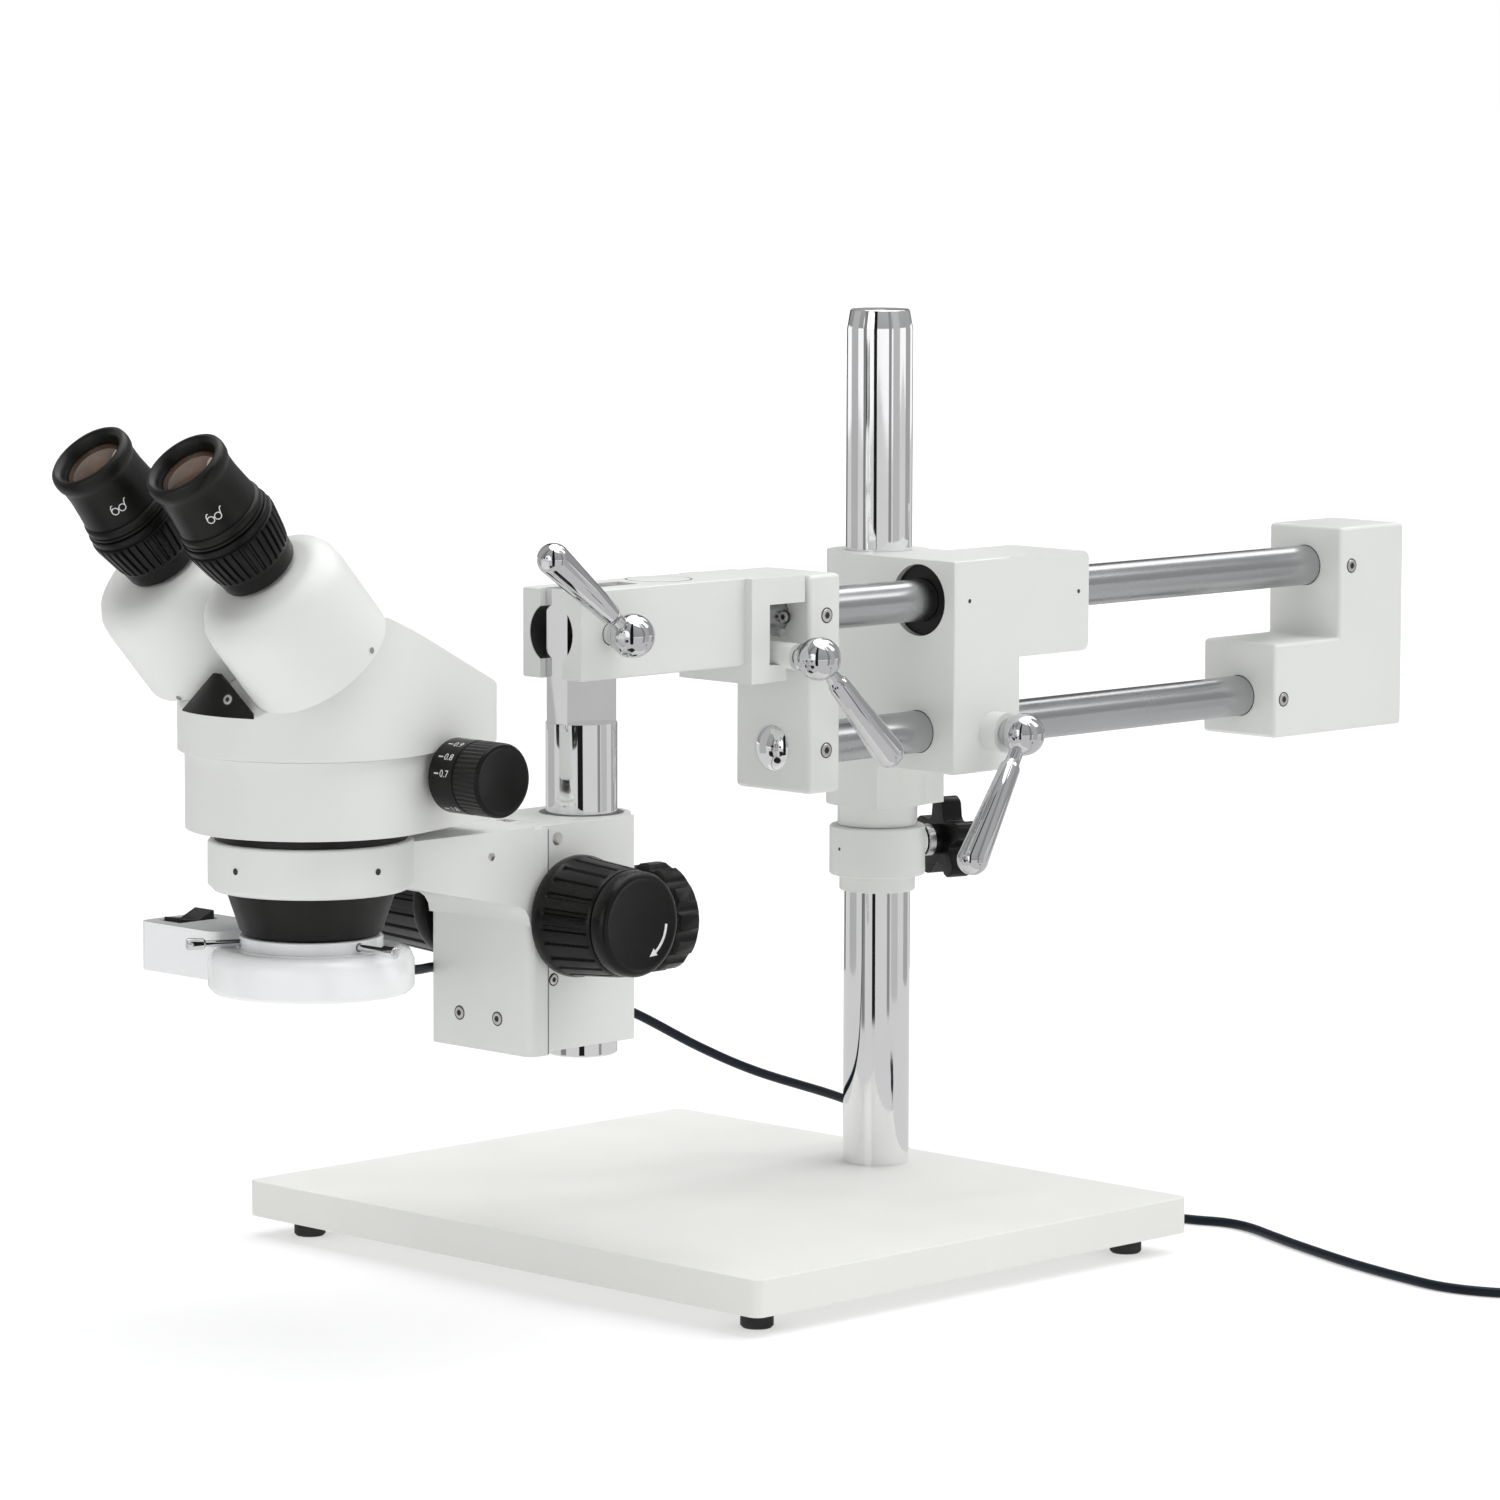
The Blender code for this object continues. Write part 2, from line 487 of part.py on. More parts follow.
def scalloped_knob():
    """The knob behind the housing that locks it on the post."""
    face = TILT_Y + HOUSING_HALF + 12.0
    rim, notches = 25.0, 12
    knob = turned("housing_lock_knob", [(0, 14), (rim - 2, 14), (rim, 12), (rim, 2), (rim - 2, 0), (0, 0)],
                  place(ROD_X, face, LOCK_KNOB_Z), TURNS["y"], 36, BLACK)
    for i in range(notches):
        a = 2 * pi * (i + 0.5) / notches
        cut(knob, rod("scallop", 4.2, (ROD_X + (rim + 2.2) * cos(a), face - 1, LOCK_KNOB_Z + (rim + 2.2) * sin(a)),
                      16, "y", 12, BLACK, True))
    stem = rod("stem", 4.0, (ROD_X, TILT_Y + 19.4, LOCK_KNOB_Z), face + 2 - TILT_Y - 19.4, "y", 20, STEEL, True)
    hub = rod("hub", 9.0, (ROD_X, face - 12.0, LOCK_KNOB_Z), 13.5, "y", 24, BLACK, True)
    return join(knob, hub, stem)


def make_pinion():
    shaft = rod("pinion_shaft", 4.0, (ROD_X - 62, PINION_Y, PINION_Z), 124, "x", 24, STEEL)
    gear = []
    for i in range(PINION_TEETH):
        for radius, step in ((4.5, 0.0), (4.5, 0.35), (5.1, 0.68)):
            a = 2 * pi * (i + step) / PINION_TEETH
            gear.append((PINION_Y + radius * cos(a), PINION_Z + radius * sin(a)))
    join(shaft, extruded("gear", gear, ROD_X - 5, ROD_X + 5, "x", BRASS, True))
    for side, sign in (("right", 1), ("left", -1)):
        focus_knob(side, sign)
    turned("tension_cap", [(0, 8.0), (21.6, 8.0), (23.3, 6.4), (23.6, 0), (0, 0)],
           place(ROD_X + 70.0, PINION_Y, PINION_Z), TURNS["x"], 36, BLACK)


def focus_knob(side, sign):
    """A coned hand wheel with a deep-ribbed grip; the right one carries the tension cap on its end."""
    start, end = 35.0, 69.7 if sign > 0 else 78.0
    profile = [(0, end), (24.0, end), (24.6, end - 1), (26.3, 42.0), (26.9, 40.5), (26.9, 36.0), (26.0, start),
               (0, start)]
    turn = TURNS["x"] if sign > 0 else (0, radians(-90), 0)
    knob = turned("focus_knob_" + side, profile, place(ROD_X, PINION_Y, PINION_Z), turn, 36, BLACK)
    cut(knob, hole(4.3, (ROD_X + (30 if sign > 0 else -62.3), PINION_Y, PINION_Z), 32.3, "x", 24))


def make_carriage():
    """The sliding plate, its arm and the ring that holds the head, in one casting."""
    left, right, corner = ROD_X - CARRIAGE_HALF, ROD_X + CARRIAGE_HALF, 4.0
    plate = [(right, SLIDE_FACE), (left, SLIDE_FACE), *arc((left + corner, CARRIAGE_FRONT + corner), corner, 180, 270, 4),
             *arc((right - corner, CARRIAGE_FRONT + corner), corner, 270, 360, 4)]
    carriage = extruded("focus_carriage", plate, HOUSING_BOTTOM, HOUSING_TOP)
    rail = extruded("rail", dovetail(11.0, 14.9, SLIDE_FACE - 1, -289.0), HOUSING_BOTTOM, HOUSING_TOP, "z",
                    PAINT, True)
    fillet = 10.0
    low, high = RING_BOTTOM - 13.3, RING_TOP - 1.4
    inside, reach = CARRIAGE_FRONT + 3, HEAD_Y + 26
    web = [(inside, high), (reach, high), (reach, RING_BOTTOM + 0.4),
           *arc((CARRIAGE_FRONT - fillet, low - fillet), fillet, 90, 0, 4), (inside, low - fillet)]
    arm = extruded("arm", web, left, right, "x", PAINT, True)
    ring = turned("ring", [(0, RING_TOP), (RING_RADIUS - 1, RING_TOP), (RING_RADIUS, RING_TOP - 1),
                           (RING_RADIUS, RING_BOTTOM + 2.5), (RING_RADIUS - 2.5, RING_BOTTOM), (0, RING_BOTTOM)],
                  place(ROD_X, HEAD_Y, 0), sides=44, paint=PAINT, tool=True)
    join(carriage, rail, arm, ring)
    cut(carriage, hole(SPIGOT_RADIUS + GAP + 0.1, (ROD_X, HEAD_Y, 150), 100, "z", 44),
        pocket((ROD_X - 4.3, -294.3, 100), (ROD_X + 4.3, -280, 240)))
    back, valley, crest = -294.0, -289.4, -288.7
    low, high = HOUSING_BOTTOM + 4, HOUSING_TOP - 4
    rack = [(back, low), (back, high)]
    for i in range(int((high - low - 2) / TOOTH_PITCH)):
        z = high - 1 - TOOTH_PITCH * i
        rack += [(valley, z), (crest, z - 0.95), (valley, z - 1.9)]
    rack.append((valley, low))
    extruded("focus_rack", rack, ROD_X - 4, ROD_X + 4, "x", BRASS)


# ---- head ----
def body_outline(front, inset=0.0):
    """A round front that narrows to a flat back with round corners, seen from above."""
    side, back, corner = 25.0, 66.0, REAR_CORNER - inset
    # the straight flank touches the front circle and the rear corner circle
    reach = sqrt(side * side + back * back)
    lean = atan2(back, side) - pi / 2
    turn = pi / 2 + lean - acos((front - corner) / reach)
    centre = (ROD_X, HEAD_Y)
    flank = degrees(turn)
    yield from arc(centre, front, 180 - flank, 360 + flank, 24)
    yield from arc((centre[0] + side, centre[1] + back), corner, flank, 90, 5)
    yield from arc((centre[0] - side, centre[1] + back), corner, 90, 180 - flank, 5)


def make_head():
    lower = extruded("head_lower_body", body_outline(BODY_RADIUS, 3.0), BODY_BOTTOM, GROOVE_Z - GAP / 2)
    soften(lower, 2.6, 1)
    lower_room = extruded("room", body_outline(BODY_RADIUS - 4, 7.0), BODY_BOTTOM + 4, GROOVE_Z + 9, "z", PAINT, True)
    cut(lower, lower_room, hole(33, (ROD_X, HEAD_Y, 200), 60, "z", 48),
        hole(4.4, (ROD_X - 90, HEAD_Y + ZOOM_Y, ZOOM_Z), 180, "x", 24))
    upper = extruded("head_upper_body", body_outline(CROWN_RADIUS), GROOVE_Z + GAP / 2, 345)
    cut(upper, *crown_slopes(0))
    soften(upper, 2.4, 1)
    upper_room = extruded("room", body_outline(CROWN_RADIUS - 4, 4.0), GROOVE_Z - 5, 345, "z", PAINT, True)
    cut(upper_room, *crown_slopes(-6))
    cut(upper, upper_room)
    seat = RING_TOP + GAP
    mount = [(33, seat + 4.3), (41.9, seat + 4.3), (41.9, seat), (SPIGOT_RADIUS, seat),
             (SPIGOT_RADIUS, RING_BOTTOM + 0.5), (33, RING_BOTTOM + 0.5)]
    turned("mount_ring", mount, place(ROD_X, HEAD_Y, 0), sides=32, paint=BLACK)
    tip = COLLAR_RIM + 0.7
    nose = [(31.5, RING_BOTTOM + 0.2), (37.2, RING_BOTTOM + 0.2), (31.2, tip + 2), (29.6, tip), (26.6, tip),
            (26.6, tip - 11), (23.5, tip - 11), (23.5, tip + 11)]
    turned("nose_cone", nose, place(ROD_X, HEAD_Y, 0), sides=32, paint=BLACK)
    lens = [(0, 6.5), (12, 6.2), (23.1, 4.6), (23.1, 1.0), (12, 0.2), (0, 0)]
    turned("objective_lens", lens, place(ROD_X, HEAD_Y, tip - 6), sides=24, paint=GLASS)


def crown_slopes(lift):
    """Cutters that leave the crown's front and rear slopes, raised by lift."""
    return (tilted_block(FRONT_EDGE[0], FRONT_EDGE[1] + lift, radians(TUBE_TILT)),
            tilted_block(REAR_EDGE[0], REAR_EDGE[1] + lift, -radians(REAR_SLOPE)))


def tilted_block(y, z, slope):
    """A wide cutter whose underside passes through a line along x and rises towards the back by slope."""
    mesh = bmesh.new()
    lift = Matrix.Translation((0, 0, 60 * MM))
    bmesh.ops.create_cube(mesh, size=1.0, matrix=lift @ Matrix.Diagonal((0.3, 0.4, 0.12, 1.0)))
    return from_bmesh("slice", mesh, place(ROD_X, HEAD_Y + y, z), (slope, 0, 0), PAINT, True)


def make_zoom():
    rod("zoom_shaft", 4.0, (ROD_X - 78, HEAD_Y + ZOOM_Y, ZOOM_Z), 156, "x", 24, STEEL)
    for side, sign in (("right", 1), ("left", -1)):
        profile = [(0, 84.3), (15.2, 84.3), (ZOOM_RADIUS, 83.2), (ZOOM_RADIUS, 54.9), (15.4, 54.0), (9, 54.0),
                   (9, 50.2), (0, 50.2)]
        turn = TURNS["x"] if sign > 0 else (0, radians(-90), 0)
        knob = turned("zoom_knob_" + side, profile, place(ROD_X, HEAD_Y + ZOOM_Y, ZOOM_Z), turn, 28, BLACK)
        cut(knob, hole(4.3, (ROD_X + (45 if sign > 0 else -78.3), HEAD_Y + ZOOM_Y, ZOOM_Z), 33.3, "x", 24))


def tube_frame(side):
    """The top centre of a prism housing, and the directions across, along and up its tilted axis."""
    a = radians(TUBE_TILT)
    up = Vector((0, -sin(a), cos(a)))
    along = Vector((0, cos(a), sin(a)))
    return place(ROD_X + side * CAN_X, HEAD_Y + CAN_RIM[0], CAN_RIM[1]), Vector((side, 0, 0)), along, up


def make_eye_side(name, side):
    rim, across, along, up = tube_frame(side)
    tilt = (radians(TUBE_TILT), 0, 0)
    side_top = CAN_RADIUS - 0.6
    can = [(0, CAN_CROWN), (CAN_RADIUS - 11, CAN_CROWN), (CAN_RADIUS - 6.6, 8.8), (CAN_RADIUS - 2.8, 5.8),
           (side_top, 1.6), (CAN_RADIUS, -4.0), (CAN_RADIUS, -CAN_HIGH), (0, -CAN_HIGH)]
    housing = turned("prism_housing_" + name, can, rim, tilt, 36, PAINT)
    room = turned("room", [(0, -2), (22, -2), (22, -60), (0, -60)], rim, tilt, 24, PAINT, True)
    cut(housing, room)
    axis = rim + across * (TUBE_ACROSS * MM) + along * (TUBE_ALONG * MM) + up * (CAN_CROWN * MM)
    ring = [(15.4, 29.0), (20.4, 29.0), (21.0, 28.2), (20.4, 22.0), (18.4, 8.0), (17.6, 6.6), (17.0, 1.0),
            (16.6, GAP), (15.4, GAP)]
    turned("diopter_tube_" + name, ring, axis, tilt, 28, BLACK)
    cup = [(0, 57.0), (14.9, 57.0), (15.4, 61.3), (17.0, 62.3), (18.3, 61.5), (18.7, 58.5), (18.2, 53.0),
           (17.6, 49.5), (18.0, 41.0), (18.9, 34.5), (19.9, 33.8), (19.9, 29.4), (15.0, 29.4), (15.0, 4.0), (0, 4.0)]
    turned("eyepiece_" + name, cup, axis, tilt, 28, BLACK)
    lens = [(0, 60.2), (8, 59.9), (14.0, 58.9), (14.3, 58.3), (14.3, 57.4), (0, 57.4)]
    turned("eye_lens_" + name, lens, axis, tilt, 20, GLASS)


def make_gap_cover():
    """The black three-cornered plate that fills the notch in front of the two prism housings."""
    half, high, thick, lean = 21.0, 18.6, 1.4, 11.0
    outline = [(-half, 0), (half, 0), (half - 3, 2.6), (2.0, high), (-2.0, high), (-half + 3, 2.6)]
    curve_at = place(ROD_X, HEAD_Y + FRONT_EDGE[0] - 1.9, FRONT_EDGE[1] + 0.9)
    cover = sheet("prism_gap_cover", outline, thick, BLACK)
    cover.location = curve_at
    cover.rotation_euler = (radians(90 - lean), 0, 0)


# ---- ring light ----
def make_ring_light():
    top, bottom, inner = LIGHT_TOP, LIGHT_BOTTOM, LIGHT_INNER
    slot_out, slot_in, slot_high = 41.5, 31.5, bottom + 11
    profile = [(inner, COLLAR_RIM), (LIGHT_COLLAR - 0.6, COLLAR_RIM), (LIGHT_COLLAR, COLLAR_RIM - 0.6),
               (LIGHT_COLLAR, top - 1.5), (LIGHT_COLLAR + 1.5, top), (LIGHT_RADIUS - 6, top),
               (LIGHT_RADIUS - 1.8, top - 1.8), (LIGHT_RADIUS, top - 6), (LIGHT_RADIUS, bottom + 2),
               (LIGHT_RADIUS - 2, bottom), (slot_out, bottom), (slot_out, slot_high), (slot_in, slot_high),
               (slot_in, bottom), (inner, bottom)]
    body = turned("ring_light_body", profile, place(ROD_X, HEAD_Y, 0), sides=36, paint=WHITE_PLASTIC)
    outline = rounded_box((ROD_X + SWITCH_X[0], HEAD_Y - SWITCH_Y), (ROD_X + SWITCH_X[1], HEAD_Y + SWITCH_Y), 5, 3)
    case = extruded("case", outline, bottom + 0.9, SWITCH_TOP, "z", WHITE_PLASTIC, True)
    join(body, case)
    cut(body, pocket((ROD_X + ROCKER_X[0] - 1, HEAD_Y - 11.4, ROCKER_Z - 7), (ROD_X + ROCKER_X[1] + 1, HEAD_Y + 11.4, 190)),
        gland_piece("socket", [(0, 1), (3.3, 1), (3.3, -5), (0, -5)], True),
        *(thumbscrew_hole(angle) for angle in SCREW_ANGLES.values()))
    for name, angle in SCREW_ANGLES.items():
        thumbscrew(name, angle)
    for name, low, high, paint in (("light_board", 8.4, 10.0, CIRCUIT), ("light_diffuser", 1.0, 3.2, DIFFUSER)):
        ring = [(slot_in + 0.4, bottom + high), (slot_out - 0.4, bottom + high), (slot_out - 0.4, bottom + low),
                (slot_in + 0.4, bottom + low)]
        turned(name, ring, place(ROD_X, HEAD_Y, 0), sides=28, paint=paint)
    rocker()
    relief = [(0, GLAND_LONG), (3.1, GLAND_LONG), (4.4, 3.0), (5.6, 2.0), (5.6, 1.2), (3.0, 1.2), (3.0, -2.6), (0, -2.6)]
    gland_piece("cord_gland", relief, False)


def gland_piece(name, profile, tool):
    """A turned piece on the axis that the cord leaves the ring light by: outwards and a little down."""
    return turned(name, profile, gland_point(0), (0, radians(90 + GLAND_DROP), radians(GLAND_ANGLE)), 16, BLACK, tool)


def gland_point(distance):
    """A point on the cord's exit axis, this far out from the ring light's wall."""
    a, drop = radians(GLAND_ANGLE), radians(GLAND_DROP)
    reach = LIGHT_RADIUS + distance * cos(drop)
    return place(ROD_X + reach * cos(a), HEAD_Y + reach * sin(a), GLAND_Z - distance * sin(drop))


def thumbscrew_hole(degrees):
    """A radial hole through the ring light's collar."""
    a = radians(degrees)
    tool = rod("hole", 2.0, (ROD_X + 26 * cos(a), HEAD_Y + 26 * sin(a), SCREW_Z), 9, "x", 12, PAINT, True)
    tool.rotation_euler = (0, radians(90), a)
    return tool


def thumbscrew(name, degrees):
    a, start = radians(degrees), 26.9
    profile = [(0, 28.0), (2.0, 28.0), (2.6, 27.4), (2.6, 20.6), (2.0, 20.0), (1.5, 19.6), (1.5, 0.8), (0.8, 0),
               (0, 0)]
    turned("thumbscrew_" + name, profile, place(ROD_X + start * cos(a), HEAD_Y + start * sin(a), SCREW_Z),
           (0, radians(90), a), 16)


def rocker():
    """The rocker switch, tipped to one side, in the switch case's opening."""
    outline = [(-9.4, 0.8), (-9.4, 4.0), (0, 2.6), (8.8, 6.6), (9.4, 5.8), (9.4, 0.8), (0, -2.6)]
    switch = extruded("rocker_switch", [(HEAD_Y + y, ROCKER_Z + z) for y, z in outline], ROD_X + ROCKER_X[0],
                      ROD_X + ROCKER_X[1], "x", BLACK)
    return soften(switch, 0.4, 1)


# ---- cord ----
# From the ring light, under the left focus knob, behind the focus block and the pillar, down behind
# the base and round its rear right corner to the coil.
CORD_ROUTE = [
    (22, -321, 156.2), (13.5, -303.6, 154.6), (4, -285, 151.8), (-4, -266, 148.0),
    (-12, -240, 141.5), (-17, -210, 134.0), (-19, -180, 125.5), (-18.5, -146.5, 113.3), (-18, -103, 92.0),
    (-19, -62, 75.0), (-27, 4, 53.5), (-33, 34, 40.0), (-38, 56, 24.0), (-42, 76, 9.0), (-41, 94, 2.6),
    (-30, 109, 2.25), (-8, 113, 2.25), (24, 104, 2.25), (58, 91, 2.25), (92, 85, 2.25), (123, 90.3, 2.25),
    (141, 96.5, 2.25), (158, 95, 2.25), (181, 86, 2.25), (204, 77, 2.25), (246, 62.5, 2.25), (284, 53, 2.25),
    (314, 49, 2.25), (340, 57, 2.25), (362, 76, 2.25),
]


def through(points, steps):
    """A smooth curve through points: steps samples to each stretch between two of them."""
    points = [points[0] * 2 - points[1], *points, points[-1] * 2 - points[-2]]
    curve = []
    for a, b, c, d in zip(points, points[1:], points[2:], points[3:]):
        for i in range(steps):
            t = i / steps
            curve.append((b * 2 + (c - a) * t + (a * 2 - b * 5 + c * 4 - d) * t ** 2
                          + (b * 3 - a - c * 3 + d) * t ** 3) / 2)
    return [*curve, points[-2]]


def evenly(curve, spacing):
    """The same curve read off at equal distances."""
    lengths = [0.0]
    for a, b in zip(curve, curve[1:]):
        lengths.append(lengths[-1] + (b - a).length)
    count = round(lengths[-1] / spacing)
    found, k = [], 0
    for i in range(count + 1):
        want = lengths[-1] * i / count
        while k < len(curve) - 2 and lengths[k + 1] < want:
            k += 1
        share = (want - lengths[k]) / (lengths[k + 1] - lengths[k])
        found.append(curve[k].lerp(curve[k + 1], share))
    return found


def make_cord():
    beside_coil = COIL_RADIUS + (COIL_ROWS + 1) * CORD_RADIUS + 2 * GAP
    round_coil = [place(x, y, CORD_RADIUS) for x, y in arc((COIL_X, COIL_Y), beside_coil, 126, 90, 2)]
    route = [gland_point(GLAND_LONG + 1.5 * GAP), gland_point(GLAND_LONG + 6), *(place(*p) for p in CORD_ROUTE),
             *round_coil]
    points = evenly(through(route, 12), 6 * CORD_RADIUS * MM)
    curve = bpy.data.curves.new("cord_tube", "CURVE")
    curve.dimensions = "3D"
    curve.bevel_depth = CORD_RADIUS * MM
    curve.bevel_resolution = 2
    curve.use_fill_caps = True
    spline = curve.splines.new("POLY")
    spline.points.add(len(points) - 1)
    for point, spot in zip(spline.points, points):
        point.co = (*spot, 1)
    tube = bpy.data.objects.new("cord_tube", curve)
    bpy.context.scene.collection.objects.link(tube)
    finish(tube, CORD)
    coil_half, coil_high = COIL_ROWS * CORD_RADIUS, 2 * COIL_LAYERS * CORD_RADIUS
    turned("cord_coil", [(COIL_RADIUS - coil_half, coil_high), (COIL_RADIUS + coil_half, coil_high),
                         (COIL_RADIUS + coil_half, 0), (COIL_RADIUS - coil_half, 0)],
           place(COIL_X, COIL_Y, 0), sides=28, paint=CORD)
    body, tip = 5.6, 2.75
    plug = [(0, 52), (tip, 52), (tip, 42), (body - 0.6, 42), (body, 41), (body, 20), (3.6, 17), (3.0, 0), (0, 0)]
    turned("cord_plug", plug, place(COIL_X + COIL_RADIUS + coil_half + body + GAP, COIL_Y + 4, body),
           (radians(90), 0, 0), 20, BLACK)


# ---- moving pieces ----
def make_pivots():
    """An empty on each joint's axis, with the pieces that the joint moves hung on it."""
    centre = (ROD_X, HEAD_Y, RING_TOP)
    pivots = [
        ("collar_slide", None, (0, 0, COLLAR_TOP), ["safety_collar"]),
        ("collar_screw", "collar_slide", (27 * cos(radians(KNOB_TURN)), 27 * sin(radians(KNOB_TURN)), KNOB_Z),
         ["collar_knob"]),
        ("boom_swing", "collar_slide", (0, 0, BLOCK_TOP), ["boom_block", "rod_bushing"]),
        ("boom_lock", "boom_swing", (ROD_X, BOOM_LOCK_Y, LOWER_ROD_Z), ["boom_lock_lever"]),
        ("boom_slide", "boom_swing", (ROD_X, 0, UPPER_ROD_Z),
         ["upper_rod", "lower_rod", "front_plate", "rear_block", "rod_end_cap"]),
        ("arm_roll", "boom_slide", (ROD_X, LUG_BACK, UPPER_ROD_Z), ["roll_arm", "tilt_bolt"]),
        ("roll_lock", "arm_roll", (ROD_X, ROLL_LOCK_Y, ROLL_LOCK_Z), ["roll_lock_lever"]),
        ("tilt_lock", "arm_roll", (ROD_X, TILT_Y, TILT_Z), ["tilt_lock_lever"]),
        ("post_tilt", "arm_roll", (ROD_X, TILT_Y, TILT_Z), ["drop_post"]),
        ("post_slide", "post_tilt", (ROD_X, TILT_Y, HOUSING_TOP), ["post_bush"]),
        ("post_swing", "post_slide", (ROD_X, TILT_Y, HOUSING_TOP), ["focus_housing"]),
        ("post_lock", "post_swing", (ROD_X, TILT_Y, LOCK_KNOB_Z), ["housing_lock_knob"]),
        ("focus_turn", "post_swing", (ROD_X, PINION_Y, PINION_Z),
         ["pinion_shaft", "focus_knob_right", "focus_knob_left"]),
        ("tension_turn", "focus_turn", (ROD_X + 70, PINION_Y, PINION_Z), ["tension_cap"]),
        ("focus_slide", "post_swing", (ROD_X, SLIDE_FACE, PINION_Z), ["focus_carriage", "focus_rack"]),
        ("head_turn", "focus_slide", centre,
         ["head_lower_body", "head_upper_body", "mount_ring", "nose_cone", "objective_lens", "prism_gap_cover"]),
        ("zoom_turn", "head_turn", (ROD_X, HEAD_Y + ZOOM_Y, ZOOM_Z),
         ["zoom_shaft", "zoom_knob_right", "zoom_knob_left"]),
        ("light_turn", "head_turn", (ROD_X, HEAD_Y, LIGHT_TOP),
         ["ring_light_body", "light_board", "light_diffuser", "cord_gland"]),
        ("switch_rock", "light_turn", (ROD_X + ROCKER_X[0], HEAD_Y, ROCKER_Z), ["rocker_switch"]),
    ]
    for name, degrees in SCREW_ANGLES.items():
        a = radians(degrees)
        spot = (ROD_X + LIGHT_COLLAR * cos(a), HEAD_Y + LIGHT_COLLAR * sin(a), SCREW_Z)
        pivots.append((name + "_screw", "light_turn", spot, ["thumbscrew_" + name]))
    empties = {}
    for name, parent, spot, nodes in pivots:
        empties[name] = hang(name, empties.get(parent), place(*spot), nodes)
    for name, side in (("right", 1), ("left", -1)):
        rim, across, along, up = tube_frame(side)
        tube = rim + across * (TUBE_ACROSS * MM) + along * (TUBE_ALONG * MM) + up * (CAN_CROWN * MM)
        spread = hang("spread_" + name, empties["head_turn"], rim, ["prism_housing_" + name])
        dial = hang("diopter_" + name, spread, tube, ["diopter_tube_" + name])
        hang("draw_" + name, dial, tube, ["eyepiece_" + name, "eye_lens_" + name])


def hang(name, parent, spot, nodes):
    empty = bpy.data.objects.new("pivot_" + name, None)
    empty.empty_display_size = 0.02
    PARTS.objects.link(empty)
    empty.location = spot
    if parent:
        empty.location = spot - Vector(parent["world"])
        empty.parent = parent
    empty["world"] = spot
    for node in nodes:
        piece = bpy.data.objects[node]
        piece.parent = empty
        piece.matrix_parent_inverse = Matrix.Translation(spot).inverted()
    return empty


make_base()
make_pillar()
make_collar()
make_boom_block()
make_boom()
make_arm()
make_post()
make_focus_housing()
make_pinion()
make_carriage()
make_head()
make_zoom()
make_eye_side("right", 1)
make_eye_side("left", -1)
make_gap_cover()
make_ring_light()
make_cord()
make_pivots()
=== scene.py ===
"""Camera, studio, finishes and fine details for the stereo microscope on its double-rod boom stand.

Lengths are in millimetres from the pillar's axis on the table: x to the user's right, y away from the
user, z up. place() turns them into metres in the frame's own coordinates.
"""

from math import atan2, cos, degrees, pi, radians, sin, sqrt, tan

import bmesh
import bpy
from mathutils import Matrix, Vector


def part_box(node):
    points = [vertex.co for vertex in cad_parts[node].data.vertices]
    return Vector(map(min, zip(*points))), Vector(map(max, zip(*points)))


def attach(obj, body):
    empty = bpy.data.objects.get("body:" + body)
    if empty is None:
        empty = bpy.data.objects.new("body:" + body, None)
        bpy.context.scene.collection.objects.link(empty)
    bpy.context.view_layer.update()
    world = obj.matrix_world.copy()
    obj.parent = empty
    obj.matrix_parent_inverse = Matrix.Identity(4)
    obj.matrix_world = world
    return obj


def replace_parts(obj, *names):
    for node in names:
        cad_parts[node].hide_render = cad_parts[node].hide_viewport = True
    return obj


MM = 0.001

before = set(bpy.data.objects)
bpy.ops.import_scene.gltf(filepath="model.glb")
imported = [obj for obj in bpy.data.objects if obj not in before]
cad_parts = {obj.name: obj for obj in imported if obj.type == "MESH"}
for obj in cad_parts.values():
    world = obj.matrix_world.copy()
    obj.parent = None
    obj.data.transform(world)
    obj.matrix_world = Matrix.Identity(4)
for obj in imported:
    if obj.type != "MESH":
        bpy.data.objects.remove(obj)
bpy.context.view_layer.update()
pillar_low, pillar_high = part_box("pillar")
PILLAR = Vector(((pillar_low.x + pillar_high.x) / 2, (pillar_low.y + pillar_high.y) / 2, 0))


def corners(node):
    """Lowest and highest corner of a CAD node, in millimetres from the pillar's axis."""
    low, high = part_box(node)
    return (low - PILLAR) / MM, (high - PILLAR) / MM


def middle(node):
    """The middle of a CAD node's box, in millimetres from the pillar's axis."""
    low, high = corners(node)
    return (low + high) / 2


def place(x, y, z):
    """A point in the frame's own metres."""
    return PILLAR + Vector((x, y, z)) * MM


# ---- camera ----
AZIMUTH, PITCH, ROLL = radians(44.83), radians(6.58), radians(0.17)
CAMERA_AT = place(2104.3, -2204.3, 578.7)
LENS = 152.47


def make_camera():
    """A camera that looks down on the microscope from its front right."""
    back = Vector((sin(AZIMUTH) * cos(PITCH), -cos(AZIMUTH) * cos(PITCH), sin(PITCH)))
    level = Vector((cos(AZIMUTH), sin(AZIMUTH), 0))
    above = back.cross(level)
    right = level * cos(ROLL) + above * sin(ROLL)
    up = above * cos(ROLL) - level * sin(ROLL)
    data = bpy.data.cameras.new("camera")
    data.sensor_width = 36
    data.lens = LENS
    data.clip_start, data.clip_end = 0.1, 200
    camera = bpy.data.objects.new("camera", data)
    bpy.context.scene.collection.objects.link(camera)
    camera.matrix_world = Matrix.Translation(CAMERA_AT) @ Matrix((right, up, back)).transposed().to_4x4()
    bpy.context.scene.camera = camera


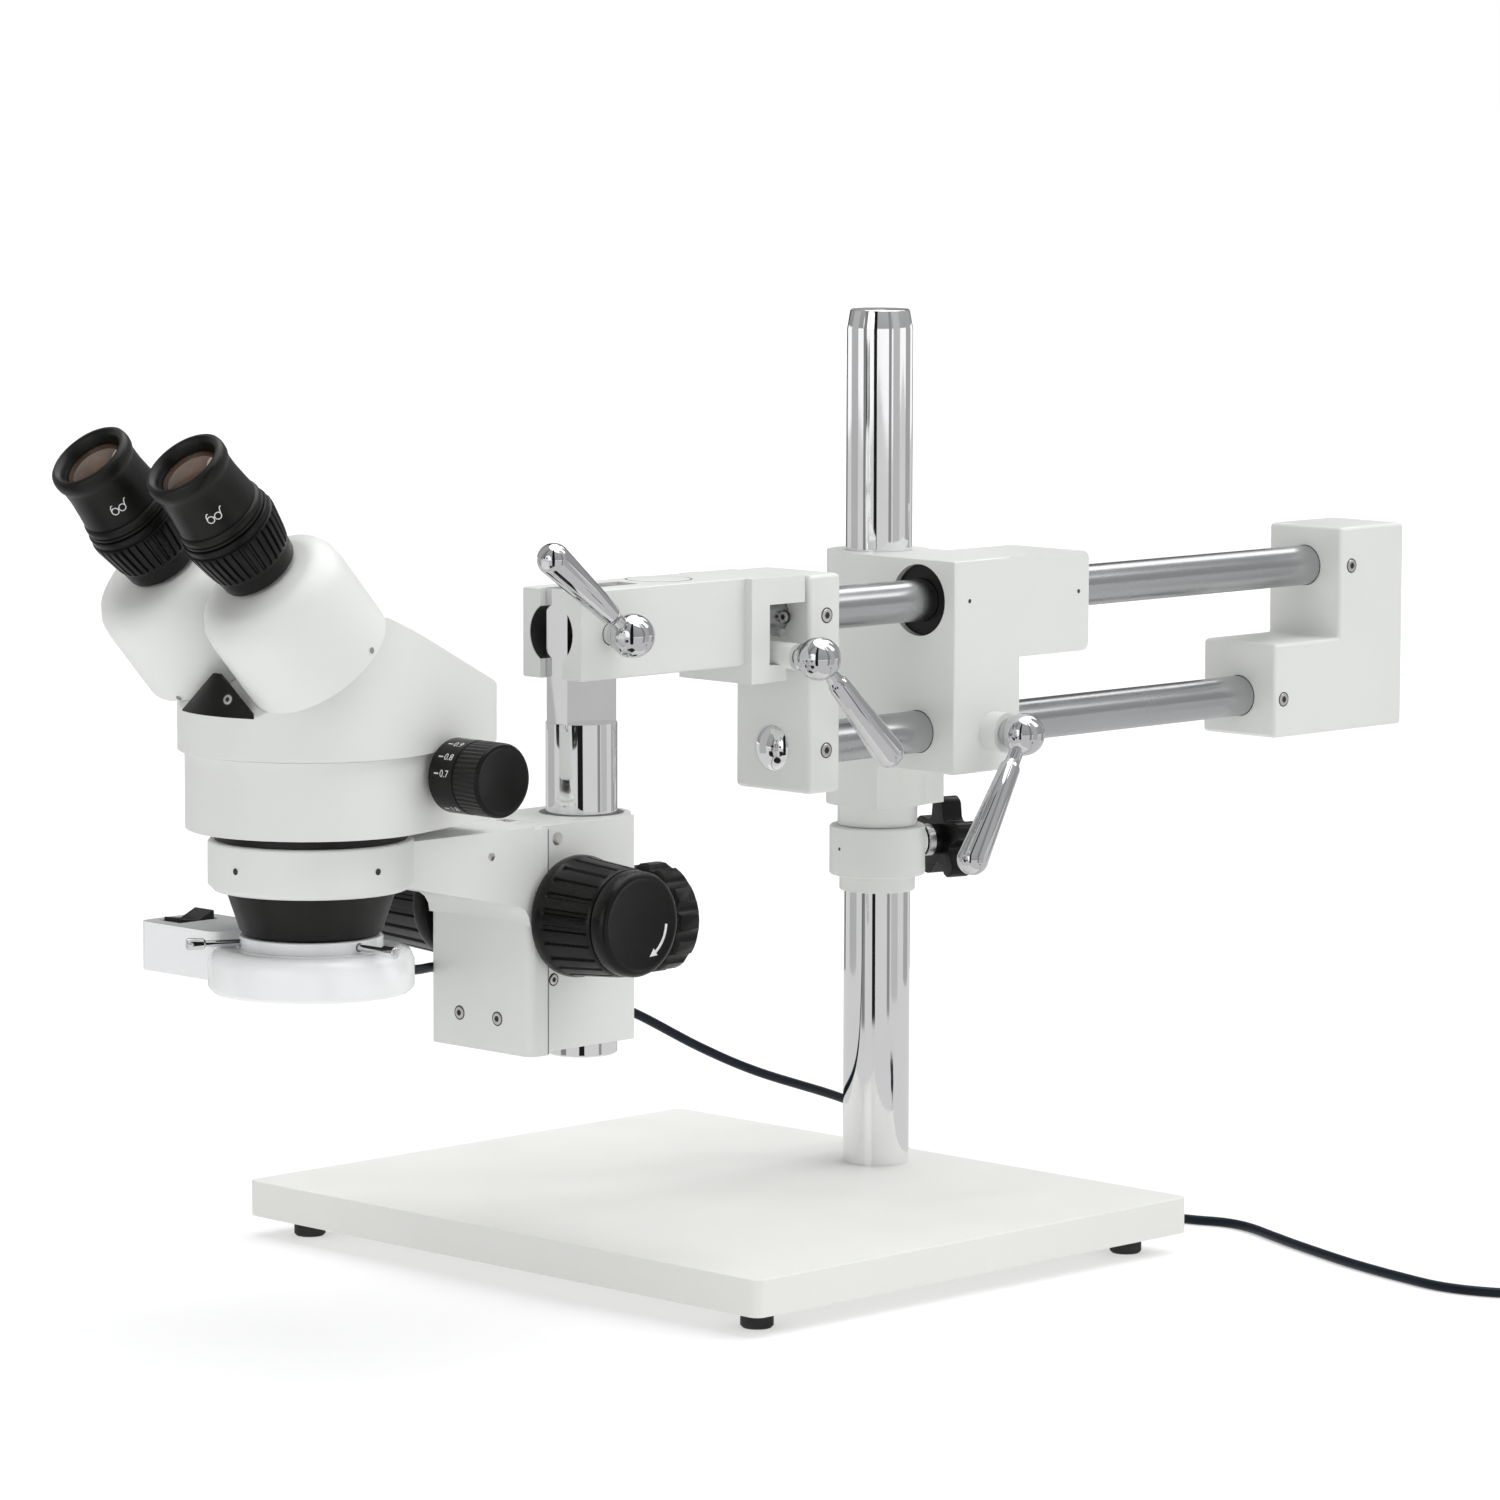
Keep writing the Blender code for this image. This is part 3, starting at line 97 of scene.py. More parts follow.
# ---- materials ----
class Nodes:
    """A material's node tree, with short calls for the nodes used here."""

    def __init__(self, name):
        self.material = bpy.data.materials.new(name)
        self.material.use_nodes = True
        self.tree = self.material.node_tree
        self.shader = self.tree.nodes["Principled BSDF"]
        self.coordinates = self.tree.nodes.new("ShaderNodeTexCoord").outputs["Object"]

    def link(self, source, target):
        self.tree.links.new(source, target)

    def set(self, **values):
        for name, value in values.items():
            self.shader.inputs[name.replace("_", " ")].default_value = value

    def noise(self, scale, detail=4.0, stretch=None):
        """Noise in the object's own space: scale is in waves a metre, stretch a factor for each axis."""
        node = self.tree.nodes.new("ShaderNodeTexNoise")
        node.inputs["Scale"].default_value = scale
        node.inputs["Detail"].default_value = detail
        source = self.coordinates
        if stretch:
            mapping = self.tree.nodes.new("ShaderNodeMapping")
            mapping.inputs["Scale"].default_value = stretch
            self.link(source, mapping.inputs["Vector"])
            source = mapping.outputs["Vector"]
        self.link(source, node.inputs["Vector"])
        return node.outputs["Fac"]

    def range(self, value, low, high, start=0.3, end=0.7):
        node = self.tree.nodes.new("ShaderNodeMapRange")
        for name, number in (("From Min", start), ("From Max", end), ("To Min", low), ("To Max", high)):
            node.inputs[name].default_value = number
        self.link(value, node.inputs["Value"])
        return node.outputs["Result"]

    def colours(self, value, first, second):
        """A mix of two colours by a value from 0.3 to 0.7."""
        node = self.tree.nodes.new("ShaderNodeMix")
        node.data_type = "RGBA"
        node.inputs["A"].default_value = (*first, 1)
        node.inputs["B"].default_value = (*second, 1)
        self.link(self.range(value, 0, 1), node.inputs["Factor"])
        self.link(node.outputs["Result"], self.shader.inputs["Base Color"])

    def bump(self, height, strength, depth):
        node = self.tree.nodes.new("ShaderNodeBump")
        node.inputs["Strength"].default_value = strength
        node.inputs["Distance"].default_value = depth
        self.link(height, node.inputs["Height"])
        self.link(node.outputs["Normal"], self.shader.inputs["Normal"])


def plain(name, first, second, rough, patches, grain, strength, depth, **values):
    """A finish with soft patches between two colours, an uneven sheen and a fine grain.

    patches and grain are in waves a metre, strength and depth (in metres) are the grain's bumps.
    """
    nodes = Nodes(name)
    nodes.colours(nodes.noise(patches), first, second)
    nodes.link(nodes.range(nodes.noise(patches * 3), rough[0], rough[1]), nodes.shader.inputs["Roughness"])
    nodes.bump(nodes.noise(grain, 2.0), strength, depth)
    nodes.set(**values)
    return nodes.material


def brushed(name, first, second, rough, stretch, strength=0.08, **values):
    """Metal with fine lines, close together along the axis that stretch makes largest."""
    nodes = Nodes(name)
    lines = nodes.noise(1.0, 3.0, stretch)
    nodes.colours(lines, first, second)
    nodes.link(nodes.range(lines, rough[0], rough[1]), nodes.shader.inputs["Roughness"])
    nodes.bump(lines, strength, 0.00002)
    nodes.set(Metallic=1.0, **values)
    return nodes.material


PAINT = plain("white_paint", (0.735, 0.745, 0.725), (0.76, 0.77, 0.75), (0.36, 0.46), 14, 2600, 0.16, 0.00006,
              Coat_Weight=0.15, Coat_Roughness=0.3)
BASE_PAINT = plain("base_paint", (0.79, 0.795, 0.765), (0.81, 0.815, 0.785), (0.42, 0.55),
                   10, 1500, 0.3, 0.0001)
CHROME = plain("chrome", (0.80, 0.80, 0.81), (0.84, 0.84, 0.85), (0.035, 0.06), 30, 60, 0.02, 0.00003,
               Metallic=1.0)
# Lever chrome: the same chrome painted darker, as painted shade for the darker surroundings that the levers
# reflect.
LEVER_CHROME_SHADED = plain("lever_chrome_shaded", (0.62, 0.62, 0.635), (0.66, 0.66, 0.675), (0.04, 0.07),
                     30, 60, 0.02, 0.00003, Metallic=1.0)
STEEL = plain("ground_steel", (0.47, 0.475, 0.485), (0.495, 0.50, 0.51), (0.24, 0.28), 12, 400, 0.01, 0.00001,
              Metallic=1.0)
BRUSHED = brushed("brushed_steel", (0.55, 0.55, 0.56), (0.66, 0.66, 0.67), (0.22, 0.34), (1800, 60, 1800))
SCREW = plain("screw_steel", (0.66, 0.65, 0.62), (0.74, 0.73, 0.70), (0.3, 0.4), 300, 900, 0.02, 0.00002,
              Metallic=1.0)
BRASS = brushed("brass", (0.62, 0.44, 0.18), (0.75, 0.56, 0.26), (0.25, 0.35), (200, 200, 2500))
BLACK = plain("black_plastic", (0.0045, 0.0045, 0.004), (0.008, 0.008, 0.007), (0.3, 0.4),
              40, 2200, 0.2, 0.00006, Specular_IOR_Level=0.28)
GRIP = plain("black_grip", (0.003, 0.003, 0.0025), (0.005, 0.005, 0.0045), (0.26, 0.36),
             50, 2600, 0.3, 0.00006, Specular_IOR_Level=0.26)
SATIN_BLACK = plain("satin_black", (0.007, 0.007, 0.006), (0.011, 0.011, 0.01), (0.38, 0.48),
                    40, 3500, 0.25, 0.00005, Specular_IOR_Level=0.3)
RUBBER = plain("rubber", (0.012, 0.012, 0.012), (0.022, 0.022, 0.022), (0.7, 0.85), 60, 1200, 0.4, 0.0001)
GLOSSY_WHITE = plain("white_plastic", (0.88, 0.89, 0.895), (0.90, 0.91, 0.915), (0.14, 0.22),
                     18, 400, 0.03, 0.00005, Coat_Weight=0.4, Coat_Roughness=0.06)
FROSTED = plain("frosted_plastic", (0.82, 0.83, 0.84), (0.88, 0.89, 0.90), (0.45, 0.6),
                60, 3000, 0.3, 0.00005)
CIRCUIT = plain("circuit_board", (0.03, 0.12, 0.05), (0.05, 0.17, 0.07), (0.35, 0.5), 90, 900, 0.2, 0.0001)
GLASS = plain("glass", (0.05, 0.028, 0.016), (0.11, 0.065, 0.04), (0.02, 0.04), 90, 30, 0.01, 0.00002,
              Coat_Weight=0.6, Coat_Roughness=0.02, Specular_IOR_Level=0.35)
CORD = plain("cord_jacket", (0.002, 0.006, 0.013), (0.004, 0.010, 0.020), (0.3, 0.42),
             120, 900, 0.15, 0.00005, Specular_IOR_Level=0.2)
INK = plain("white_ink", (0.62, 0.63, 0.62), (0.75, 0.76, 0.75), (0.5, 0.6), 200, 2000, 0.1, 0.00002)
# Painted shade in mid-grey: the floor of each prism housing's pin hole, with the set screw in it drawn in
# shade.
PAINTED_SHADE = plain("seam", (0.22, 0.22, 0.21), (0.28, 0.28, 0.27), (0.5, 0.6), 200, 1500, 0.1, 0.00003)
# Painted shadow in dark grey: the thin gap round the arm's plug and the step behind the carriage.
PAINTED_SHADE_DARK = plain("dark_painted_shade", (0.06, 0.06, 0.06), (0.09, 0.09, 0.09), (0.5, 0.6), 200, 1500, 0.1, 0.00003)
# Painted shadow, near black: the inside of holes, the ring and socket of sunk screws, and the arm's fork
# pocket.
SHADOW = plain("dark_recess", (0.02, 0.02, 0.02), (0.035, 0.035, 0.035), (0.55, 0.7), 200, 1500, 0.2, 0.00003)

FINISHES = {
    "white_paint": PAINT, "chrome": CHROME, "satin_steel": STEEL, "brass": BRASS, "black_plastic": BLACK,
    "black_metal": SATIN_BLACK, "rubber": RUBBER, "white_plastic": GLOSSY_WHITE, "frosted_plastic": FROSTED,
    "circuit_board": CIRCUIT, "glass": GLASS, "cord_jacket": CORD,
}


# ---- CAD nodes: finish and smooth shading ----
EDGE_ANGLE = 47.0              # faces that meet at less than this are shaded as one, in degrees
WELD = 0.000002                # the welding distance, in metres


def smoothing():
    """A node group that welds a faceted mesh and shades it smooth, except across real edges."""
    group = bpy.data.node_groups.new("smooth_by_angle", "GeometryNodeTree")
    group.interface.new_socket("Geometry", in_out="INPUT", socket_type="NodeSocketGeometry")
    group.interface.new_socket("Geometry", in_out="OUTPUT", socket_type="NodeSocketGeometry")
    nodes, links = group.nodes, group.links
    start, end = nodes.new("NodeGroupInput"), nodes.new("NodeGroupOutput")
    weld = nodes.new("GeometryNodeMergeByDistance")
    weld.inputs["Distance"].default_value = WELD
    forget = nodes.new("GeometryNodeRemoveAttribute")
    forget.inputs["Name"].default_value = "custom_normal"
    soft = nodes.new("GeometryNodeSetShadeSmooth")
    soft.domain = "FACE"
    angle = nodes.new("GeometryNodeInputMeshEdgeAngle")
    compare = nodes.new("FunctionNodeCompare")
    compare.operation = "LESS_THAN"
    compare.inputs["B"].default_value = radians(EDGE_ANGLE)
    edges = nodes.new("GeometryNodeSetShadeSmooth")
    edges.domain = "EDGE"
    links.new(start.outputs["Geometry"], weld.inputs["Geometry"])
    links.new(weld.outputs["Geometry"], forget.inputs["Geometry"])
    links.new(forget.outputs["Geometry"], soft.inputs["Geometry"])
    links.new(soft.outputs["Geometry"], edges.inputs["Geometry"])
    links.new(angle.outputs["Unsigned Angle"], compare.inputs["A"])
    links.new(compare.outputs["Result"], edges.inputs["Shade Smooth"])
    links.new(edges.outputs["Geometry"], end.inputs["Geometry"])
    return group


def finish_nodes():
    """Every CAD node gets the finish of its slot, and keeps its own shape."""
    group = smoothing()
    special = {
        "base_plate": BASE_PAINT, "nose_cone": SATIN_BLACK, "collar_knob": GRIP, "housing_lock_knob": GRIP,
        "pinion_shaft": BRUSHED, "zoom_shaft": BRUSHED, "pillar_bolt": BRUSHED,
    }
    for name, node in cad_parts.items():
        for slot in node.material_slots:
            slot.material = special.get(name, FINISHES[slot.material.name.split(".")[0]])
        modifier = node.modifiers.new("smooth", "NODES")
        modifier.node_group = group
        weighted = node.modifiers.new("flat_faces", "WEIGHTED_NORMAL")
        weighted.keep_sharp = True
        weighted.weight = 90


# ---- making pieces ----
def piece(name, vertices, faces, material, body, smooth=35.0):
    """A mesh in metres in the frame's own coordinates, which rides on a body."""
    data = bpy.data.meshes.new(name)
    data.from_pydata([tuple(v) for v in vertices], [], faces)
    mesh = bmesh.new()
    mesh.from_mesh(data)
    bmesh.ops.recalc_face_normals(mesh, faces=mesh.faces)
    mesh.to_mesh(data)
    mesh.free()
    data.materials.append(material)
    data.shade_smooth()
    data.set_sharp_from_angle(angle=radians(smooth))
    obj = bpy.data.objects.new(name, data)
    bpy.context.scene.collection.objects.link(obj)
    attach(obj, body)
    return obj


def facing(origin, direction, across=None):
    """A frame at a point whose z axis runs in a direction, and x axis as near as may be to across."""
    z = Vector(direction).normalized()
    guess = Vector(across) if across else (Vector((0, 0, 1)) if abs(z.z) < 0.9 else Vector((0, 1, 0)))
    x = (guess - z * guess.dot(z)).normalized()
    return Matrix.Translation(origin) @ Matrix((x, z.cross(x), z)).transposed().to_4x4()


def round_ring(angle):
    """The radius of a plain round ring, as a share of the stated one."""
    return 1.0


def hexagon(angle):
    """The radius of a hexagon with its corners on the stated one."""
    return cos(pi / 6) / cos((angle + pi / 6) % (pi / 3) - pi / 6)


def grooved(count, depth, width=0.3):
    """A ring cut by grooves: depth is the share of the radius that they take, width their share of a turn."""
    def ring(angle):
        phase = angle * count / (2 * pi) % 1
        return 1 - depth if 0.9 - width < phase < 0.9 else 1.0
    return ring


def waved(count, depth):
    """A ring with shallow round flutes."""
    def ring(angle):
        return 1 - depth * (0.5 - 0.5 * cos(angle * count))
    return ring


def turned(name, profile, at, material, body, sides=64, smooth=35.0):
    """A turned piece about at's z axis: (radius, height) or (radius, height, ring shape), in millimetres."""
    vertices, faces, rings = [], [], []
    for entry in profile:
        radius, height = entry[:2]
        shape = entry[2] if len(entry) > 2 else round_ring
        if radius == 0:
            rings.append([len(vertices)] * sides)
            vertices.append(at @ Vector((0, 0, height * MM)))
            continue
        rings.append(list(range(len(vertices), len(vertices) + sides)))
        for k in range(sides):
            angle = 2 * pi * k / sides
            reach = radius * shape(angle) * MM
            vertices.append(at @ Vector((reach * cos(angle), reach * sin(angle), height * MM)))
    loops = zip(rings, rings[1:]) if profile[0][0] == 0 else zip(rings, rings[1:] + rings[:1])
    for first, second in loops:
        for k in range(sides):
            n = (k + 1) % sides
            corners_of = [first[k], first[n], second[n], second[k]]
            distinct = list(dict.fromkeys(corners_of))
            if len(distinct) > 2:
                faces.append(distinct)
    return piece(name, vertices, faces, material, body, smooth)


def socket_screw(name, spot, direction, radius, body, proud=0.45):
    """A socket-head screw sunk to its rim: a steel head, with painted shadow as the dark ring round it and in
    its hexagonal socket.
    """
    at = facing(place(*spot), direction)
    rim = radius + 0.55
    # A disc of painted shadow under the head, seen as a dark ring round it and through its hexagonal socket.
    shade_disc = [(0, 0.12), (rim, 0.12), (rim, -0.5), (0, -0.5)]
    turned(name + "_shade_disc", shade_disc, at, SHADOW, body, 24)
    inside = radius * 0.55
    head = [(inside, proud, hexagon), (radius - 0.3, proud), (radius, proud - 0.25), (radius, -0.4),
            (inside, -0.4, hexagon)]
    turned(name, head, at, SCREW, body, 24)


def pin_hole(name, spot, direction, radius, body, end=SHADOW):
    """A small set screw in a hole, drawn as a disc of painted shade (the finish end, near black unless given)
    with an edge of white paint.
    """
    at = facing(place(*spot), direction)
    # The disc in the hole is painted shade, in the finish end.
    pin = [(0, 0.06), (radius * 0.7, 0.06), (radius, 0.12), (radius, -0.5), (0, -0.5)]
    turned(name, pin, at, end, body, 20)
    inner, outer = radius * 0.95, radius * 1.28
    edge = [(outer, 0.05), (outer, -0.4), (inner, -0.4), (inner, 0.14)]
    turned(name + "_edge", edge, at, PAINT, body, 20)


# ---- the cord ----
CORD_LENGTH, CORD_RADIUS = 1.8, 2.25   # metres, and millimetres
CORD_STEP = 0.0035                     # metres between the points of its centreline
GLAND_ANGLE, GLAND_DROP, GLAND_Z, GLAND_LONG = 108.0, 14.0, 164.8, 15.0
LIGHT_RADIUS = 44.7
COIL_X, COIL_Y, COIL_RADIUS = 402.0, 60.0, 27.0
COIL_OUTSIDE = COIL_RADIUS + 4 * CORD_RADIUS + 0.6   # where the cord runs beside its coil
CORD_ROUTE = [
    (22, -321, 156.2), (13.5, -303.6, 154.6), (4, -285, 151.8), (-4, -266, 148.0),
    (-12, -240, 141.5), (-17, -210, 134.0), (-19, -180, 125.5), (-18.5, -146.5, 113.3), (-18, -103, 92.0),
    (-19, -62, 75.0), (-27, 4, 53.5), (-33, 34, 40.0), (-38, 56, 24.0), (-42, 76, 9.0), (-41, 94, 2.6),
    (-30, 109, 2.25), (-8, 113, 2.25), (24, 104, 2.25), (58, 91, 2.25), (92, 85, 2.25), (123, 90.3, 2.25),
    (141, 96.5, 2.25), (158, 95, 2.25), (181, 86, 2.25), (204, 77, 2.25), (246, 62.5, 2.25), (284, 53, 2.25),
    (314, 49, 2.25), (340, 57, 2.25), (362, 76, 2.25),
]


def gland_point(distance):
    """A point on the cord's exit axis, this far out from the ring light's wall."""
    a, drop = radians(GLAND_ANGLE), radians(GLAND_DROP)
    reach = LIGHT_RADIUS + distance * cos(drop)
    head = middle("nose_cone")
    return place(head.x + reach * cos(a), head.y + reach * sin(a), GLAND_Z - distance * sin(drop))


def through(points, steps):
    """A smooth curve through points: steps samples to each stretch between two of them."""
    points = [points[0] * 2 - points[1], *points, points[-1] * 2 - points[-2]]
    curve = []
    for a, b, c, d in zip(points, points[1:], points[2:], points[3:]):
        for i in range(steps):
            t = i / steps
            curve.append((b * 2 + (c - a) * t + (a * 2 - b * 5 + c * 4 - d) * t ** 2
                          + (b * 3 - a - c * 3 + d) * t ** 3) / 2)
    return [*curve, points[-2]]


def evenly(curve, spacing):
    """The same curve read off at points an equal way apart."""
    lengths = [0.0]
    for a, b in zip(curve, curve[1:]):
        lengths.append(lengths[-1] + (b - a).length)
    count = round(lengths[-1] / spacing)
    found, k = [], 0
    for i in range(count + 1):
        want = lengths[-1] * i / count
        while k < len(curve) - 2 and lengths[k + 1] < want:
            k += 1
        share = (want - lengths[k]) / (lengths[k + 1] - lengths[k])
        found.append(curve[k].lerp(curve[k + 1], share))
    return found


def ease(share):
    """A share from 0 to 1 that starts and stops gently."""
    share = min(max(share, 0.0), 1.0)
    return share * share * (3 - 2 * share)


def coil_points():
    """The rest of the cord: clockwise, winding inwards on the table and outwards on top, then to the plug."""
    first, pitch = 31.9, 4.65
    low, high = CORD_RADIUS, 6.95
    enter, climb, leave = 60.0, 90.0, 84.0
    turns = (360 * 5 + 84.3 - enter - climb - leave) / 720
    wound = 360 * turns
    inner = first - pitch * turns
    plug_low, plug_high = corners("cord_plug")
    plug_x, plug_y, plug_z = (plug_low.x + plug_high.x) / 2, plug_high.y, (plug_low.z + plug_high.z) / 2
    plug_reach = sqrt((plug_x - COIL_X) ** 2 + (plug_y - COIL_Y) ** 2)
    total = enter + 2 * wound + climb + leave
    step = 6.0
    points = []
    for i in range(1, int(total / step) + 1):
        turn = total * i / int(total / step)
        if turn <= enter:
            radius, z = COIL_OUTSIDE + (first - COIL_OUTSIDE) * ease(turn / enter), low
        elif turn <= enter + wound:
            radius, z = first - pitch * (turn - enter) / 360, low
        elif turn <= enter + wound + climb:
            radius, z = inner, low + (high - low) * ease((turn - enter - wound) / climb)
        elif turn <= total - leave:
            radius, z = inner + pitch * (turn - enter - wound - climb) / 360, high
        else:
            share = (turn - total + leave) / leave
            radius = first + (plug_reach - first) * ease(share)
            z = high + (plug_z - high) * ease((share - 0.5) * 2)
        angle = radians(90 - turn)
        points.append(place(COIL_X + radius * cos(angle), COIL_Y + radius * sin(angle), z))
    return points


def make_cord():
    """The ring light's cord: one tube from its gland, over the base and the table, to the plug."""
    round_coil = []
    for turn in (126, 108, 90):
        a = radians(turn)
        round_coil.append(place(COIL_X + COIL_OUTSIDE * cos(a), COIL_Y + COIL_OUTSIDE * sin(a), CORD_RADIUS))
    leaving = [gland_point(GLAND_LONG - 1.5), gland_point(GLAND_LONG + 6)]
    route = [*leaving, *(place(*p) for p in CORD_ROUTE), *round_coil, *coil_points()]
    points = evenly(through(route, 8), CORD_STEP)
    curve = bpy.data.curves.new("ring_light_cord", "CURVE")
    curve.dimensions = "3D"
    curve.bevel_depth = CORD_RADIUS * MM
    curve.bevel_resolution = 4
    curve.use_fill_caps = True
    spline = curve.splines.new("POLY")
    spline.points.add(len(points) - 1)
    for point, spot in zip(spline.points, points):
        point.co = (*spot, 1)
    spline.use_smooth = True
    curve.materials.append(CORD)
    cord = bpy.data.objects.new("ring_light_cord", curve)
    bpy.context.scene.collection.objects.link(cord)
    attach(cord, "stand")
    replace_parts(cord, "cord_tube", "cord_coil")


# ---- studio ----
def emission(name, strength):
    """An even white or grey glow."""
    made = bpy.data.materials.new(name)
    made.use_nodes = True
    tree = made.node_tree
    tree.nodes.remove(tree.nodes["Principled BSDF"])
    glow = tree.nodes.new("ShaderNodeEmission")
    glow.inputs["Color"].default_value = (1, 1, 1, 1)
    glow.inputs["Strength"].default_value = strength
    tree.links.new(glow.outputs["Emission"], tree.nodes["Material Output"].inputs["Surface"])
    return made


def studio_sheet(name, vertices, material):
    """A flat sheet with these corners, which is part of the studio only."""
    data = bpy.data.meshes.new(name)
    data.from_pydata([tuple(v) for v in vertices], [], [list(range(len(vertices)))])
    data.materials.append(material)
    obj = bpy.data.objects.new(name, data)
    bpy.context.scene.collection.objects.link(obj)
    return obj


def reflected_only(obj):
    """Hides an object from everything but shiny surfaces."""
    obj.visible_camera = False
    obj.visible_diffuse = False
    obj.visible_shadow = False
    obj.visible_transmission = False
    obj.visible_volume_scatter = False


FLOOR_SHADE, FLOOR_GLOW = 0.56, 0.42
FLOOR_REACH = 40.0


def make_floor():
    """A pale floor with a little light of its own, so that it meets the white wall unseen."""
    nodes = Nodes("pale_floor")
    nodes.colours(nodes.noise(3.0), (FLOOR_SHADE,) * 3, (FLOOR_SHADE + 0.01,) * 3)
    nodes.set(Roughness=0.9, Specular_IOR_Level=0.1)
    nodes.set(Emission_Color=(1, 1, 1, 1), Emission_Strength=FLOOR_GLOW)
    reach = FLOOR_REACH
    studio_sheet("floor", [(-reach, -reach, 0), (reach, -reach, 0), (reach, reach, 0), (-reach, reach, 0)],
                 nodes.material)


def make_backdrop():
    """A white wall all round, which only the camera sees."""
    radius, sides, low, high = 38.0, 48, -3.0, 30.0
    vertices, faces = [], []
    for k in range(sides):
        a = 2 * pi * k / sides
        vertices += [(radius * cos(a), radius * sin(a), low), (radius * cos(a), radius * sin(a), high)]
        n = (k + 1) % sides
        faces.append([2 * k, 2 * n, 2 * n + 1, 2 * k + 1])
    data = bpy.data.meshes.new("backdrop")
    data.from_pydata(vertices, [], faces)
    data.materials.append(emission("backdrop_white", 1.0))
    obj = bpy.data.objects.new("backdrop", data)
    bpy.context.scene.collection.objects.link(obj)
    obj.visible_diffuse = False
    obj.visible_glossy = False
    obj.visible_shadow = False
    obj.visible_transmission = False


SKY_SIDE = (0.35, 0.0, 0.9)    # where the sky is brightest
SKY_RANGE = (0.22, 0.52)       # its strength on the far side, and there
SKY_COLOUR = (0.985, 0.995, 1.0, 1)


def make_sky():
    """Soft light from all round: brighter above and to the right, dimmer below and to the left."""
    world = bpy.data.worlds.new("studio")
    bpy.context.scene.world = world
    world.use_nodes = True
    tree = world.node_tree
    background = tree.nodes["Background"]
    coordinates = tree.nodes.new("ShaderNodeTexCoord")
    dot = tree.nodes.new("ShaderNodeVectorMath")
    dot.operation = "DOT_PRODUCT"
    dot.inputs[1].default_value = Vector(SKY_SIDE).normalized()
    tree.links.new(coordinates.outputs["Generated"], dot.inputs[0])
    mapped = tree.nodes.new("ShaderNodeMapRange")
    ends = {"From Min": -1, "From Max": 1, "To Min": SKY_RANGE[0], "To Max": SKY_RANGE[1]}
    for name, number in ends.items():
        mapped.inputs[name].default_value = number
    tree.links.new(dot.outputs["Value"], mapped.inputs["Value"])
    tree.links.new(mapped.outputs["Result"], background.inputs["Strength"])
    background.inputs["Color"].default_value = SKY_COLOUR


def soft_sun(name, direction, strength, spread):
    """A wide soft light from a direction, even over the whole floor."""
    data = bpy.data.lights.new(name, "SUN")
    data.energy = strength
    data.angle = radians(spread)
    light = bpy.data.objects.new(name, data)
    bpy.context.scene.collection.objects.link(light)
    light.rotation_mode = "QUATERNION"
    light.rotation_quaternion = Vector(direction).to_track_quat("Z", "Y")


# degrees to the right of the camera seen from the pillar, width in degrees, distance in metres, brightness
CARDS = [
    (-13, 11, 0.62, 0.012), (38, 10, 0.65, 0.3), (62, 26, 0.7, 0.55), (118, 30, 0.75, 0.42),
    (-50, 12, 0.6, 0.25), (-95, 34, 0.8, 0.5), (165, 16, 0.8, 0.12), (-150, 14, 0.8, 0.05),
]
CARD_HEIGHT = 1.4
FLOOR_CARD_REACH, FLOOR_CARD_LEVEL = 6.0, 0.72


def make_cards():
    """Upright cards and a grey floor card round the object, which only shiny surfaces see."""
    for i, (turn, width, distance, level) in enumerate(CARDS):
        a = AZIMUTH + radians(turn)
        out = Vector((sin(a), -cos(a), 0))
        half = Vector((cos(a), sin(a), 0)) * tan(radians(width / 2)) * distance
        base = PILLAR + out * distance + Vector((0, 0, 0.001))
        top = base + Vector((0, 0, CARD_HEIGHT - 0.001))
        card = studio_sheet("card_%d" % i, [base - half, base + half, top + half, top - half],
                            emission("card_grey_%d" % i, level))
        reflected_only(card)
    reach, height = FLOOR_CARD_REACH, 0.0005
    outline = [(-reach, -reach, height), (reach, -reach, height), (reach, reach, height),
               (-reach, reach, height)]
    reflected_only(studio_sheet("card_floor", outline, emission("card_floor_grey", FLOOR_CARD_LEVEL)))


def make_lights():
    """A strong wide light from above and a weak one from the front."""
    soft_sun("top", (0.12, 0.4, 1.0), 2.75, 80)
    soft_sun("front", (0.15, -1.0, 0.12), 0.5, 45)


# ---- levers ----
LEVER_BALL, LEVER_END = 10.1, 7.4      # radii of a lever's ball and of the rounded end of its handle
# name, where its screw ends, the middle of its ball, the handle's end (y, z), the radius of its screw
LEVERS = [
    ("boom_lock_lever", 60.4, (92.9, 2.4, 242.4), (-32.4, 186.0), 4.0),
    ("roll_lock_lever", 58.0, (93.6, -137.0, 288.0), (-91.2, 241.7), 3.5),
    ("tilt_lock_lever", 75.1, (83.0, -245.2, 305.0), (-293.6, 341.9), 4.0),
]


